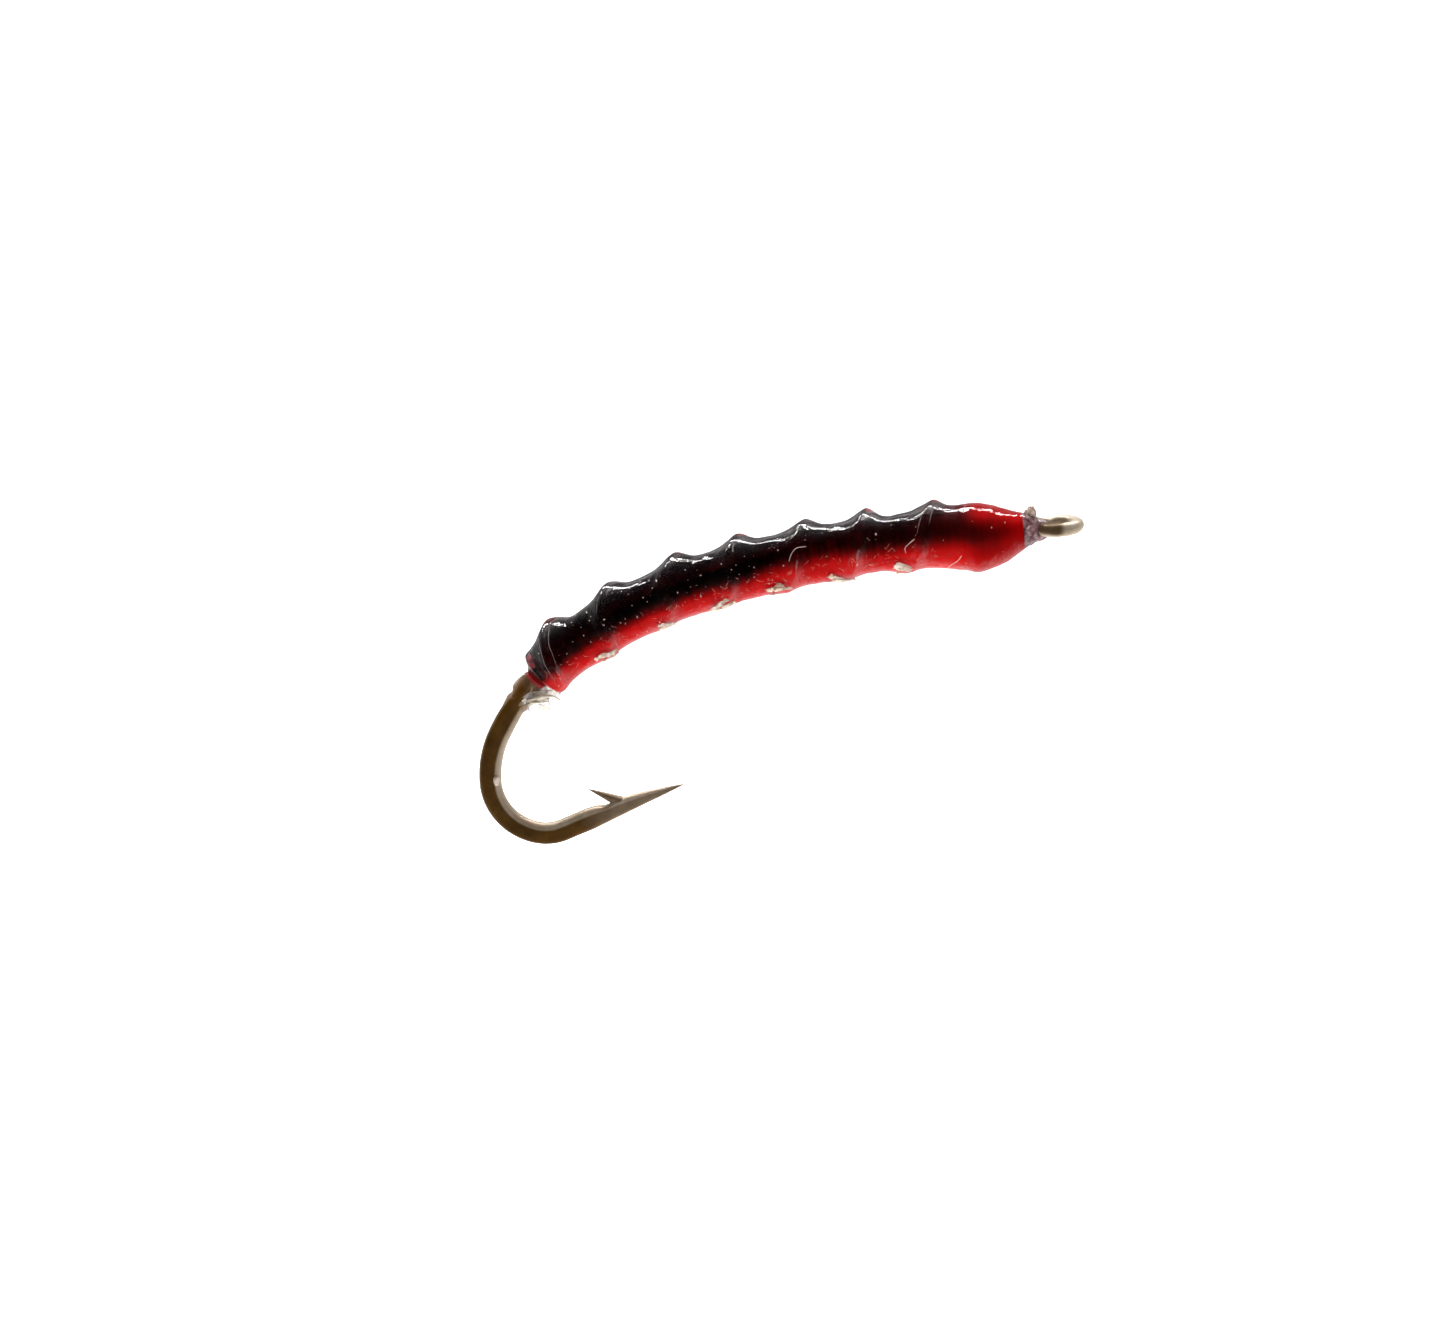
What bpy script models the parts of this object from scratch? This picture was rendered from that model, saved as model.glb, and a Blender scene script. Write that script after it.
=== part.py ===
"""A bloodworm fly tied on a single barbed hook with a curved shank.

The hook lies in the XZ plane: the eye points to +X, the back of the fly to +Z. The origin is on the
wire's centreline at the lowest point of the bend, where a clip or a vice holds the fly.
Sizes below are in millimetres. Places along the hook are distances from the centre of the eye,
measured on the wire's centreline towards the bend. Angles round the fly start at its back and
grow towards -Y.
"""

import math

import bmesh
import bpy
from mathutils import Vector

MM = 0.001

# The hook wire: lengths and turns, in degrees, of the arcs that its centreline follows from the origin.
SHANK_RUNS = ((0.23, 10.5), (2.15, 76.0), (1.45, 28.0), (3.4, 29.0), (4.5, 20.0), (6.0, 10.5), (3.71, 0.0))
SPEAR_RUNS = ((0.55, 24.5), (3.72, -5.0))
WIRE_DIAMETER = 0.52
FORGED_HEIGHT = 0.62
FORGED_THICKNESS = 0.46
FORGING_LENGTH = 1.5
POINT_TAPER = 3.1
POINT_DIAMETER = 0.03
POINT_FULLNESS = 0.8

# The eye: the wire's thinned end bent into a ring in the plane square to the bend.
EYE_RING_RADIUS = 0.5
EYE_WIRE_DIAMETER = 0.38
EYE_TAPER_LENGTH = 1.6
EYE_ENTRY = 35.0
EYE_END_GAP = 0.03
EYE_CLOSING = 0.1
EYE_LEAD_IN = 0.6

# The barb: a sliver cut up from the inside of the spear.
BARB_TO_POINT = 2.05
BARB_LENGTH = 0.6
BARB_LIFT = 0.5
BARB_THICKNESS = 0.18
BARB_WIDTH = 0.26

# What is wound on the shank, from the eye towards the bend.
WRAP_GAP = 0.012
END_GAP = 0.02
THREAD_THICKNESS = 0.05
HEAD_LENGTH = 0.2
HEAD_BUILD = 0.12
THORAX_LENGTH = 1.75
THORAX_SAG = 0.2
BODY_LENGTH = 12.7
TAIL_WRAP_LENGTH = 0.26
TAIL_WRAP_BUILD = 0.2

# Thickness of floss over the thread, at shares of the length of the thorax and of the body.
THORAX_BUILD = ((0.0, 0.1), (0.2, 0.24), (0.5, 0.42), (0.8, 0.53), (1.0, 0.5))
BODY_BUILD = ((0.0, 0.38), (0.15, 0.34), (0.5, 0.36), (0.8, 0.34), (1.0, 0.33))

# The dark strip along the back and the clear film pulled over it.
BACK_THICKNESS = 0.025
BACK_HALF_ANGLE = 90.0
FILM_THICKNESS = 0.02
FILM_HALF_ANGLE = 120.0

# The clear rib strand, wound in open turns over the film.
RIB_DIAMETER = 0.31
RIB_PITCH = 1.845
RIB_FIRST_CREST = 0.57
RIB_LEAD_IN = 60.0
RIB_LEAD_OUT = 150.0

# The clear resin that lies in the valleys between the rib's turns, and over the thorax and head.
RESIN_DEPTH = 0.03
RESIN_CLIMB = 0.05
RESIN_GAP = 0.02
RESIN_SHORTEST = 0.12
RESIN_END_CLIMB = 0.15
RESIN_SECTION = (
    (0.0, 1.0), (0.2, 0.35), (0.5, 0.0), (0.82, 0.4), (1.0, 1.0),
    (1.0, None), (0.67, None), (0.33, None), (0.0, None),
)
THORAX_COAT = 0.08
EYE_RESIN_LENGTH = 0.36
EYE_RESIN_WIDTH = 0.9
EYE_RESIN_DEPTH = 0.36
RUN_OUT_LENGTH = 1.35
RUN_OUT_THICKNESS = 0.1
RUN_OUT_EDGE = 0.03

# The trimmed ends left outside the coat, the drop of resin on the bend and the stray fibres.
TAG_LENGTH = 0.66
TAG_WIDTH = 0.6
TAG_SWING = 0.3
TAG_THICKNESS = 0.05
TAG_CREASES = ((0.0, 0.0), (0.35, 0.9), (0.6, 0.55), (1.0, 1.0))
BUTT_LENGTH = 0.36
BUTT_WIDTH = 0.34
BUTT_HEIGHT = 0.4
BUTT_BEVEL = 0.06
BEAD_RADIUS = 0.14
BEAD_HEIGHT = 0.07
BEAD_TO_ORIGIN = 2.3
BEAD_INWARD = 0.1
FIBRE_DIAMETER = 0.03
FIBRE_LIFT = 0.02

# Each stray fibre's name, the rib crest it lies near, its first and last angle, its offset from that
# crest and how far it bows along the fly.
STRAY_FIBRES = (
    ("stray_fibre_thorax", 1, 100.0, 155.0, -0.25, 0.35),
    ("stray_fibre_rib", 1, 105.0, 160.0, 0.3, 0.12),
    ("stray_fibre_back", 3, 45.0, 80.0, -0.1, 0.3),
)

# How finely round shapes are divided.
SIDES = 12
STATION = 0.5
RIB_SIDES = 6
EYE_STATIONS = 20
WIRE_STATION = 0.36
THORAX_STATION = 0.22
FIBRE_STATIONS = 8
EYE_LEAD_STATIONS = 6
STEP_ANGLE = 360.0 / SIDES
FAR_SIDE = Vector((0, 1, 0))

COLOURS = {
    "bronze_steel": ((0.05, 0.035, 0.02), 0.35, 1.0),
    "red_thread": ((0.35, 0.01, 0.01), 0.6, 0.0),
    "red_floss": ((0.5, 0.005, 0.005), 0.5, 0.0),
    "black_strip": ((0.01, 0.005, 0.01), 0.4, 0.0),
    "clear_film": ((0.85, 0.83, 0.8), 0.15, 0.0),
    "clear_strand": ((0.8, 0.78, 0.74), 0.15, 0.0),
    "clear_resin": ((0.9, 0.88, 0.86), 0.08, 0.0),
    "tan_butts": ((0.5, 0.4, 0.33), 0.5, 0.0),
    "pale_fibre": ((0.8, 0.68, 0.62), 0.6, 0.0),
}


SHANK_LENGTH = sum(length for length, _ in SHANK_RUNS)
WIRE_END = SHANK_LENGTH + sum(length for length, _ in SPEAR_RUNS)
HEAD_START = EYE_RING_RADIUS + EYE_WIRE_DIAMETER / 2 + RESIN_GAP
THORAX_START = HEAD_START + HEAD_LENGTH + END_GAP
BODY_START = THORAX_START + THORAX_LENGTH + END_GAP
BODY_END = BODY_START + BODY_LENGTH
TAIL_START = BODY_END + END_GAP
TAIL_END = TAIL_START + TAIL_WRAP_LENGTH
FORGING_START = TAIL_END + END_GAP
THREAD_RADIUS = WIRE_DIAMETER / 2 + WRAP_GAP + THREAD_THICKNESS
RIB_RADIUS = RIB_DIAMETER / 2
RIB_FLANK = 1.12 * (RIB_RADIUS + RESIN_GAP)


def follow(runs, heading, distance):
    """Place and heading, in degrees in the XZ plane, after that distance along runs from the origin."""
    place = Vector((0, 0, 0))
    for length, turn in runs:
        part = min(length, distance)
        turned = turn * part / length
        middle = math.radians(heading + turned / 2)
        half = math.radians(turned) / 2
        chord = part * (math.sin(half) / half if half else 1.0)
        place += chord * Vector((math.cos(middle), 0, math.sin(middle)))
        heading += turned
        distance -= part
    return place, heading


def wire_frame(s):
    """Centre of the wire, its direction towards the eye, and the way out from the hook's inside."""
    if s <= SHANK_LENGTH:
        place, heading = follow([(length, -turn) for length, turn in SHANK_RUNS], 180.0, SHANK_LENGTH - s)
    else:
        place, heading = follow(SPEAR_RUNS, 0.0, s - SHANK_LENGTH)
        heading += 180.0
    ahead = Vector((math.cos(math.radians(heading)), 0, math.sin(math.radians(heading))))
    return place, ahead, Vector((-ahead.z, 0, ahead.x))


def around(s, angle, radius):
    """The point at that radius from the wire's centreline, at an angle from the fly's back towards -Y."""
    place, _, out = wire_frame(s)
    turn = math.radians(angle)
    return place + radius * (math.cos(turn) * out + math.sin(turn) * Vector((0, -1, 0)))


def smooth(share):
    share = min(1.0, max(0.0, share))
    return share * share * (3 - 2 * share)


def profile(points, share):
    """A smooth height through (share, height) points."""
    for (low, from_height), (high, to_height) in zip(points, points[1:]):
        if share <= high:
            return from_height + (to_height - from_height) * smooth((share - low) / (high - low))
    return points[-1][1]


def spaced(low, high, step=STATION):
    """Places from low to high, evenly spaced and no further apart than step."""
    count = max(1, math.ceil((high - low) / step - 1e-6))
    return [low + (high - low) * i / count for i in range(count + 1)]


def wire_radius(s):
    """Half the wire's height: thinned towards the eye, raised by the forging, and tapered to the point."""
    thin = EYE_WIRE_DIAMETER / 2
    full = thin + (WIRE_DIAMETER / 2 - thin) * smooth((s - HEAD_START) / EYE_TAPER_LENGTH)
    tall = full + (FORGED_HEIGHT - WIRE_DIAMETER) / 2 * smooth((s - FORGING_START) / FORGING_LENGTH)
    left = min(1.0, max(0.0, WIRE_END - s) / POINT_TAPER)
    return max(POINT_DIAMETER / 2, tall * left**POINT_FULLNESS)


def wire_ring(s):
    """One section of the wire. The forged stretch is flat at both sides."""
    radius = wire_radius(s)
    thick = WIRE_DIAMETER + (FORGED_THICKNESS - WIRE_DIAMETER) * smooth((s - FORGING_START) / FORGING_LENGTH)
    place, _, out = wire_frame(s)
    ring = []
    for k in range(SIDES):
        turn = math.radians(k * STEP_ANGLE)
        across = max(-thick / 2, min(thick / 2, radius * math.sin(turn)))
        ring.append(place + radius * math.cos(turn) * out - across * FAR_SIDE)
    return ring


def eye_path():
    """Points along the bent wire, from its butted end round the ring to the shank."""
    centre, ahead, _ = wire_frame(0.0)
    entry = math.radians(EYE_ENTRY)
    clearance = 2 * math.asin((EYE_WIRE_DIAMETER + EYE_END_GAP) / (2 * EYE_RING_RADIUS))
    butt = 2 * math.pi - clearance + EYE_CLOSING
    path = []
    for i in range(EYE_STATIONS + 1):
        turn = butt + (entry - butt) * i / EYE_STATIONS
        path.append(centre - EYE_RING_RADIUS * (math.cos(turn) * ahead + math.sin(turn) * FAR_SIDE))
    shank = wire_frame(HEAD_START)[0]
    ring_end = path[-1]
    leaving = math.cos(entry) * FAR_SIDE - math.sin(entry) * ahead
    handles = (
        ring_end,
        ring_end + leaving * EYE_RING_RADIUS / 4,
        shank + ahead * (HEAD_START - EYE_RING_RADIUS) * EYE_LEAD_IN,
        shank,
    )
    for i in range(1, EYE_LEAD_STATIONS):
        t = i / EYE_LEAD_STATIONS
        weights = ((1 - t) ** 3, 3 * t * (1 - t) ** 2, 3 * t * t * (1 - t), t**3)
        path.append(sum((w * h for w, h in zip(weights, handles)), Vector()))
    return path + [shank]


def eye_rings():
    """Sections round the eye, square to its path, up to where the straight shank starts."""
    path = eye_path()
    out = wire_frame(0.0)[2]
    rings = []
    for i, place in enumerate(path[:-1]):
        along = (path[i + 1] - path[max(0, i - 1)]).normalized()
        side = out.cross(along).normalized()
        rings.append([
            place + EYE_WIRE_DIAMETER / 2 * (math.cos(turn) * out + math.sin(turn) * side)
            for turn in (math.radians(k * STEP_ANGLE) for k in range(SIDES))
        ])
    return rings


def material(name):
    found = bpy.data.materials.get(name)
    if found:
        return found
    colour, roughness, metallic = COLOURS[name]
    made = bpy.data.materials.new(name)
    made.use_nodes = True
    shader = made.node_tree.nodes["Principled BSDF"]
    shader.inputs["Base Color"].default_value = (*colour, 1.0)
    shader.inputs["Roughness"].default_value = roughness
    shader.inputs["Metallic"].default_value = metallic
    return made


def skin(name, rings, finish, joined=False):
    """A solid whose surface runs through the rings in turn. Joined rings close on themselves, others get caps."""
    shape = bmesh.new()
    rows = [[shape.verts.new(point * MM) for point in ring] for ring in rings]
    pairs = list(zip(rows, rows[1:])) + ([(rows[-1], rows[0])] if joined else [])
    for first, second in pairs:
        for k in range(len(first)):
            after = (k + 1) % len(first)
            shape.faces.new((first[k], first[after], second[after], second[k]))
    if not joined:
        shape.faces.new(rows[0])
        shape.faces.new(rows[-1])
    bmesh.ops.recalc_face_normals(shape, faces=shape.faces)
    mesh = bpy.data.meshes.new(name)
    shape.to_mesh(mesh)
    shape.free()
    mesh.shade_smooth()
    mesh.set_sharp_from_angle(angle=math.radians(35))
    made = bpy.data.objects.new(name, mesh)
    bpy.context.scene.collection.objects.link(made)
    made.data.materials.append(material(finish))
    return made


def full_ring(s, radius):
    return [around(s, k * STEP_ANGLE, radius(s, k * STEP_ANGLE)) for k in range(SIDES)]


def sleeve(name, places, outer, inner, finish):
    """A tube round the wire. Its outer and inner radii are functions of the place and the angle."""
    rings = [full_ring(s, outer) for s in places]
    rings += [full_ring(s, inner) for s in reversed(places)]
    return skin(name, rings, finish, joined=True)


def trough(name, places, half_angle, outer, inner, finish):
    """A strip bent over the back of the fly, from -half_angle to half_angle."""
    count = round(2 * half_angle / STEP_ANGLE)
    angles = [-half_angle + 2 * half_angle * k / count for k in range(count + 1)]
    rings = []
    for s in places:
        ring = [around(s, a, outer(s)) for a in angles]
        ring += [around(s, a, inner(s)) for a in reversed(angles)]
        rings.append(ring)
    return skin(name, rings, finish)


def winding_inner(s):
    return THREAD_RADIUS + WRAP_GAP


def thorax_outer(s, angle=0.0):
    """The thorax hangs lower on the belly than it rises on the back."""
    sag = THORAX_SAG * (1 - math.cos(math.radians(angle))) / 2
    return winding_inner(s) + profile(THORAX_BUILD, (s - THORAX_START) / THORAX_LENGTH) + sag


def body_outer(s):
    return winding_inner(s) + profile(BODY_BUILD, (s - BODY_START) / BODY_LENGTH)


def back_inner(s):
    return body_outer(s) + WRAP_GAP


def back_outer(s):
    return back_inner(s) + BACK_THICKNESS


def film_inner(s):
    return back_outer(s) + WRAP_GAP


def film_outer(s):
    return film_inner(s) + FILM_THICKNESS


def rib_seat(s, angle):
    """Radius that the rib rests on: over the film on the back, and sunk to the floss on the belly."""
    away = abs((angle + 180.0) % 360.0 - 180.0)
    over_film = film_outer(s) + WRAP_GAP
    on_floss = body_outer(s) + WRAP_GAP
    sunk = smooth((away - FILM_HALF_ANGLE - STEP_ANGLE) / (180.0 - FILM_HALF_ANGLE - STEP_ANGLE))
    return over_film + (on_floss - over_film) * sunk


def rib_place(angle):
    """Distance from the eye of the rib's centre at an angle counted on through its turns."""
    return BODY_START + RIB_FIRST_CREST + RIB_PITCH * angle / 360.0


def rib_last_angle():
    """The angle at which the rib ends: its lead out past the last crest that fits on the body."""
    room = BODY_END - RIB_RADIUS - END_GAP - rib_place(RIB_LEAD_OUT)
    return 360.0 * math.floor(room / RIB_PITCH) + RIB_LEAD_OUT


def build_hook():
    """The wire in one piece from the end of the eye's ring to the point, with the barb joined on."""
    taper_start = WIRE_END - POINT_TAPER
    places = spaced(HEAD_START, taper_start, WIRE_STATION) + spaced(taper_start, WIRE_END, WIRE_STATION)[1:]
    hook = skin("hook", eye_rings() + [wire_ring(s) for s in places], "bronze_steel")
    joint = hook.modifiers.new("barb", "BOOLEAN")
    joint.operation = "UNION"
    joint.solver = "EXACT"
    joint.object = barb_sliver()


def barb_sliver():
    """The barb's own solid: a sliver rooted inside the spear that lifts away from the point."""
    root = WIRE_END - BARB_TO_POINT
    surface = wire_radius(root)
    rings = []
    for share in (-0.3, 0.0, 0.5, 1.0):
        middle = surface - BARB_THICKNESS / 2 + share * BARB_LIFT
        half_thick = BARB_THICKNESS / 2 * (1 - 0.85 * max(0.0, share))
        half_wide = BARB_WIDTH / 2 * (1 - 0.75 * max(0.0, share))
        foot = root - share * BARB_LENGTH
        rings.append([
            around(foot, 180.0, middle + half_thick * up) + half_wide * wide * FAR_SIDE
            for up, wide in ((-1, -1), (-1, 1), (1, 0.5), (1, -0.5))
        ])
    sliver = skin("barb_sliver", rings, "bronze_steel")
    sliver.hide_render = True
    sliver.display_type = "WIRE"
    return sliver


def swell(middle, length, build, sag=0.0):
    """Outer radius of a short bank of thread turns, fullest in its middle."""
    def outer(s, angle):
        crown = build * (1 - abs(s - middle) / length)
        return winding_inner(s) + crown + sag * (1 - math.cos(math.radians(angle))) / 2
    return outer


def build_windings():
    """The red thread and floss, from the wire outwards and from the eye to the bend."""
    def on_wire(s, angle):
        return WIRE_DIAMETER / 2 + WRAP_GAP

    def on_thread(s, angle):
        return winding_inner(s)

    def thread(s, angle):
        return THREAD_RADIUS

    sleeve("thread_base", spaced(THORAX_START, TAIL_END, WIRE_STATION), thread, on_wire, "red_thread")
    head = swell(HEAD_START + HEAD_LENGTH / 2, HEAD_LENGTH, HEAD_BUILD, THORAX_SAG)
    places = spaced(HEAD_START, HEAD_START + HEAD_LENGTH, HEAD_LENGTH / 2)
    sleeve("head_wraps", places, head, on_wire, "red_thread")
    sleeve("thorax_winding", thorax_places(), thorax_outer, on_thread, "red_floss")
    body_places = spaced(BODY_START, BODY_END)
    sleeve("body_winding", body_places, lambda s, angle: body_outer(s), on_thread, "red_floss")
    tail = swell(TAIL_START + TAIL_WRAP_LENGTH / 2, TAIL_WRAP_LENGTH, TAIL_WRAP_BUILD)
    sleeve("tail_wraps", spaced(TAIL_START, TAIL_END, TAIL_WRAP_LENGTH / 2), tail, on_thread, "red_thread")


def thorax_places():
    return spaced(THORAX_START, THORAX_START + THORAX_LENGTH, THORAX_STATION)


def build_back():
    places = spaced(BODY_START, BODY_END)
    trough("back_strip", places, BACK_HALF_ANGLE, back_outer, back_inner, "black_strip")
    trough("shell_film", places, FILM_HALF_ANGLE, film_outer, film_inner, "clear_film")


def build_rib():
    """The clear strand: a round section carried along its helix."""
    angles = spaced(-RIB_LEAD_IN, rib_last_angle(), STEP_ANGLE)
    centres = [around(rib_place(a), a, rib_seat(rib_place(a), a) + RIB_RADIUS) for a in angles]
    rings = []
    for i, angle in enumerate(angles):
        ahead = (centres[min(i + 1, len(centres) - 1)] - centres[max(i - 1, 0)]).normalized()
        side = ahead.cross(centres[i] - wire_frame(rib_place(angle))[0]).normalized()
        out = side.cross(ahead)
        rings.append([
            centres[i] + RIB_RADIUS * (math.cos(turn) * out + math.sin(turn) * side)
            for turn in (2 * math.pi * k / RIB_SIDES for k in range(RIB_SIDES))
        ])
    skin("rib_strand", rings, "clear_strand")


def resin_section(angle):
    """One section of the resin between two turns of the rib, hollow and climbing to the strand on either side.

    Where the body ends before the next turn, the resin ends there with a low edge. None stands for no room.
    """
    front = rib_place(angle) + RIB_FLANK
    rear = rib_place(angle) + RIB_PITCH - RIB_FLANK
    front_climb = 1.0 if front > BODY_START else RESIN_END_CLIMB
    rear_climb = 1.0 if rear < BODY_END else RESIN_END_CLIMB
    front, rear = max(BODY_START, front), min(BODY_END, rear)
    if rear - front < RESIN_SHORTEST:
        return None
    ring = []
    for share, climb in RESIN_SECTION:
        s = front + share * (rear - front)
        rise = 0.0
        if climb is not None:
            climb *= front_climb if share < 0.5 else rear_climb
            rise = RESIN_DEPTH + climb * (RIB_RADIUS + RESIN_CLIMB - RESIN_DEPTH)
        ring.append(around(s, angle, rib_seat(s, angle) + RESIN_GAP - WRAP_GAP + rise))
    return ring


def build_resin():
    """The clear coat: the ribbon along the body, the thorax's shell, and the run-outs at both ends."""
    sections = [resin_section(angle) for angle in spaced(-RIB_LEAD_IN - 360.0, rib_last_angle(), STEP_ANGLE)]
    skin("body_resin", [ring for ring in sections if ring], "clear_resin")

    def thorax_inner(s, angle):
        return thorax_outer(s, angle) + WRAP_GAP

    def thorax_coat(s, angle):
        return thorax_inner(s, angle) + THORAX_COAT

    sleeve("thorax_resin", thorax_places(), thorax_coat, thorax_inner, "clear_resin")
    start = TAIL_END + END_GAP

    def run_out_inner(s, angle):
        return wire_radius(s) + WRAP_GAP

    def run_out(s, angle):
        left = 1 - (s - start) / RUN_OUT_LENGTH
        return run_out_inner(s, angle) + RUN_OUT_EDGE + (RUN_OUT_THICKNESS - RUN_OUT_EDGE) * left

    places = spaced(start, start + RUN_OUT_LENGTH, WIRE_STATION)
    sleeve("resin_run_out", places, run_out, run_out_inner, "clear_resin")
    build_eye_resin()


def build_eye_resin():
    """The resin that ran forward under the rear of the eye's ring, thinning and narrowing as it goes."""
    roof = EYE_WIRE_DIAMETER / 2 + RESIN_GAP
    rings = []
    for share in (0.0, 0.35, 0.7, 1.0):
        s = HEAD_START - END_GAP - share * EYE_RESIN_LENGTH
        low = roof + EYE_RESIN_DEPTH * (1 - 0.75 * share)
        half = (roof + low) / 2
        wide = EYE_RESIN_WIDTH / 2 * (1 - 0.5 * share * share)
        outline = ((roof, -1), (roof, 1), (half, 1), (low, 0.5), (low, -0.5), (half, -1))
        rings.append([around(s, 180.0, down) + across * wide * FAR_SIDE for down, across in outline])
    skin("eye_resin", rings, "clear_resin")


def build_tag():
    """The trimmed end of the film: a creased flap that stands off the wire towards the hook's inside."""
    root = TAIL_END + END_GAP
    low = wire_radius(root) + WRAP_GAP + RUN_OUT_THICKNESS + RESIN_GAP
    rings = []
    for along, swing in TAG_CREASES:
        foot = root + TAG_SWING * swing
        wide = TAG_WIDTH / 2 * (1 - 0.25 * along)
        rings.append([
            around(foot + ahead * TAG_THICKNESS, 180.0, low + along * TAG_LENGTH) + side * wide * FAR_SIDE
            for ahead, side in ((0, -1), (0, 1), (1, 1), (1, -1))
        ])
    skin("film_tag", rings, "clear_film")


def build_butt():
    """The trimmed ends of film and strand, standing on top of the eye's root in front of the head."""
    low = EYE_WIRE_DIAMETER / 2 + RESIN_GAP
    front = HEAD_START - END_GAP - BUTT_LENGTH
    rings = []
    for along, trim in (
        (0.0, BUTT_BEVEL), (BUTT_BEVEL, 0.0), (BUTT_LENGTH - BUTT_BEVEL, 0.0), (BUTT_LENGTH, BUTT_BEVEL),
    ):
        wide = BUTT_WIDTH / 2 - trim
        top = low + BUTT_HEIGHT - trim
        edge = top - BUTT_BEVEL
        flat = wide - BUTT_BEVEL
        corners = ((low, -wide), (low, wide), (edge, wide), (top, flat), (top, -flat), (edge, -wide))
        rings.append([around(front + along, 0.0, up) + across * FAR_SIDE for up, across in corners])
    skin("butt_ends", rings, "tan_butts")


def build_bead():
    """A drop of resin that set on the near flat of the bend, towards its inside."""
    place, along, out = wire_frame(SHANK_LENGTH - BEAD_TO_ORIGIN)
    foot = place - out * BEAD_INWARD - FAR_SIDE * (FORGED_THICKNESS / 2 + WRAP_GAP)
    rings = []
    for rise in (0.0, 0.5, 0.85):
        radius = BEAD_RADIUS * math.sqrt(1 - rise * rise)
        rings.append([
            foot - rise * BEAD_HEIGHT * FAR_SIDE + radius * (math.cos(turn) * out + math.sin(turn) * along)
            for turn in (math.radians(k * STEP_ANGLE) for k in range(SIDES))
        ])
    skin("resin_bead", rings, "clear_resin")


def build_fibres():
    """Loose thread fibres that lie over the rib and the coat on the near side."""
    half = FIBRE_DIAMETER / 2
    for name, crest, first, last, shift, run in STRAY_FIBRES:
        start = BODY_START + RIB_FIRST_CREST + (crest - 1) * RIB_PITCH + shift
        spine = []
        for i in range(FIBRE_STATIONS + 1):
            share = i / FIBRE_STATIONS
            angle = first + (last - first) * share
            s = start + run * math.sin(math.pi * share * 0.8)
            radius = fibre_seat(s, angle) + FIBRE_LIFT + half
            spine.append(around(s, angle, radius))
        rings = []
        for i, place in enumerate(spine):
            ahead = (spine[min(i + 1, FIBRE_STATIONS)] - spine[max(i - 1, 0)]).normalized()
            side = ahead.cross(FAR_SIDE).normalized()
            up = side.cross(ahead)
            rings.append([
                place + half * (math.cos(turn) * up + math.sin(turn) * side)
                for turn in (2 * math.pi * k / RIB_SIDES for k in range(RIB_SIDES))
            ])
        skin(name, rings, "pale_fibre")


def fibre_seat(s, angle):
    """Radius of the highest surface a fibre can lie on: the rib's crest, or the rear of the thorax's coat."""
    crest = film_outer(max(s, BODY_START)) + WRAP_GAP + RIB_DIAMETER
    coat = thorax_outer(BODY_START, angle) + WRAP_GAP + THORAX_COAT
    return max(crest, coat) if s < BODY_START + RIB_RADIUS else crest


def main():
    for leftover in list(bpy.data.objects):
        bpy.data.objects.remove(leftover)
    build_hook()
    build_windings()
    build_back()
    build_rib()
    build_resin()
    build_tag()
    build_butt()
    build_bead()
    build_fibres()


main()
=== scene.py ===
import math
import random

import bmesh
import bpy
import numpy as np
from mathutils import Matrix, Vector, noise


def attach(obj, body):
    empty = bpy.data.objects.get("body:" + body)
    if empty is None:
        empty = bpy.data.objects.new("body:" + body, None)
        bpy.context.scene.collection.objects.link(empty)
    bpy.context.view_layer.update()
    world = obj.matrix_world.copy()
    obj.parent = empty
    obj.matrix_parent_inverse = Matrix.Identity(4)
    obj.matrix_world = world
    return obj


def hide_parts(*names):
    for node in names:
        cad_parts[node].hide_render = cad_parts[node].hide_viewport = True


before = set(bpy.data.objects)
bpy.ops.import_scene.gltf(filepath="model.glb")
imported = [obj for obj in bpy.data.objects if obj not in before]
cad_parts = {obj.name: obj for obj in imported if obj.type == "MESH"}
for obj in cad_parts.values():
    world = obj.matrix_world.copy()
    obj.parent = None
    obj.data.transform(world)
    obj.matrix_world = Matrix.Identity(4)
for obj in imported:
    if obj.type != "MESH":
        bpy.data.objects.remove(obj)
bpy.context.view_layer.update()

# Lengths below are in millimetres. Places along the hook run from the centre of the eye towards the
# bend, and angles round the fly run from its back towards -Y, as in the model.
MM = 0.001
SEED = 11
SHANK_RUNS = ((0.23, 10.5), (2.15, 76.0), (1.45, 28.0), (3.4, 29.0), (4.5, 20.0), (6.0, 10.5), (3.71, 0.0))
SPEAR_RUNS = ((0.55, 24.5), (3.72, -5.0))
SHANK_LENGTH = sum(length for length, _ in SHANK_RUNS)
WIRE_END = SHANK_LENGTH + sum(length for length, _ in SPEAR_RUNS)
HEAD_START = 0.71
BODY_START = 2.7
BODY_END = 15.4
COAT_START, COAT_END = 0.56, 15.47
STRIP_START = 3.2
RIB_PITCH = 1.845
FIRST_CREST = 3.27
CRESTS = 7
STRAND_RADIUS = 0.14
EYE_RING_RADIUS = 0.5
EYE_WIRE_RADIUS = 0.19
WIRE_RADIUS = 0.26
FORGED_START = 15.7
TURN_PITCH = 0.06
FAR = np.array((0.0, 1.0, 0.0))


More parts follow.
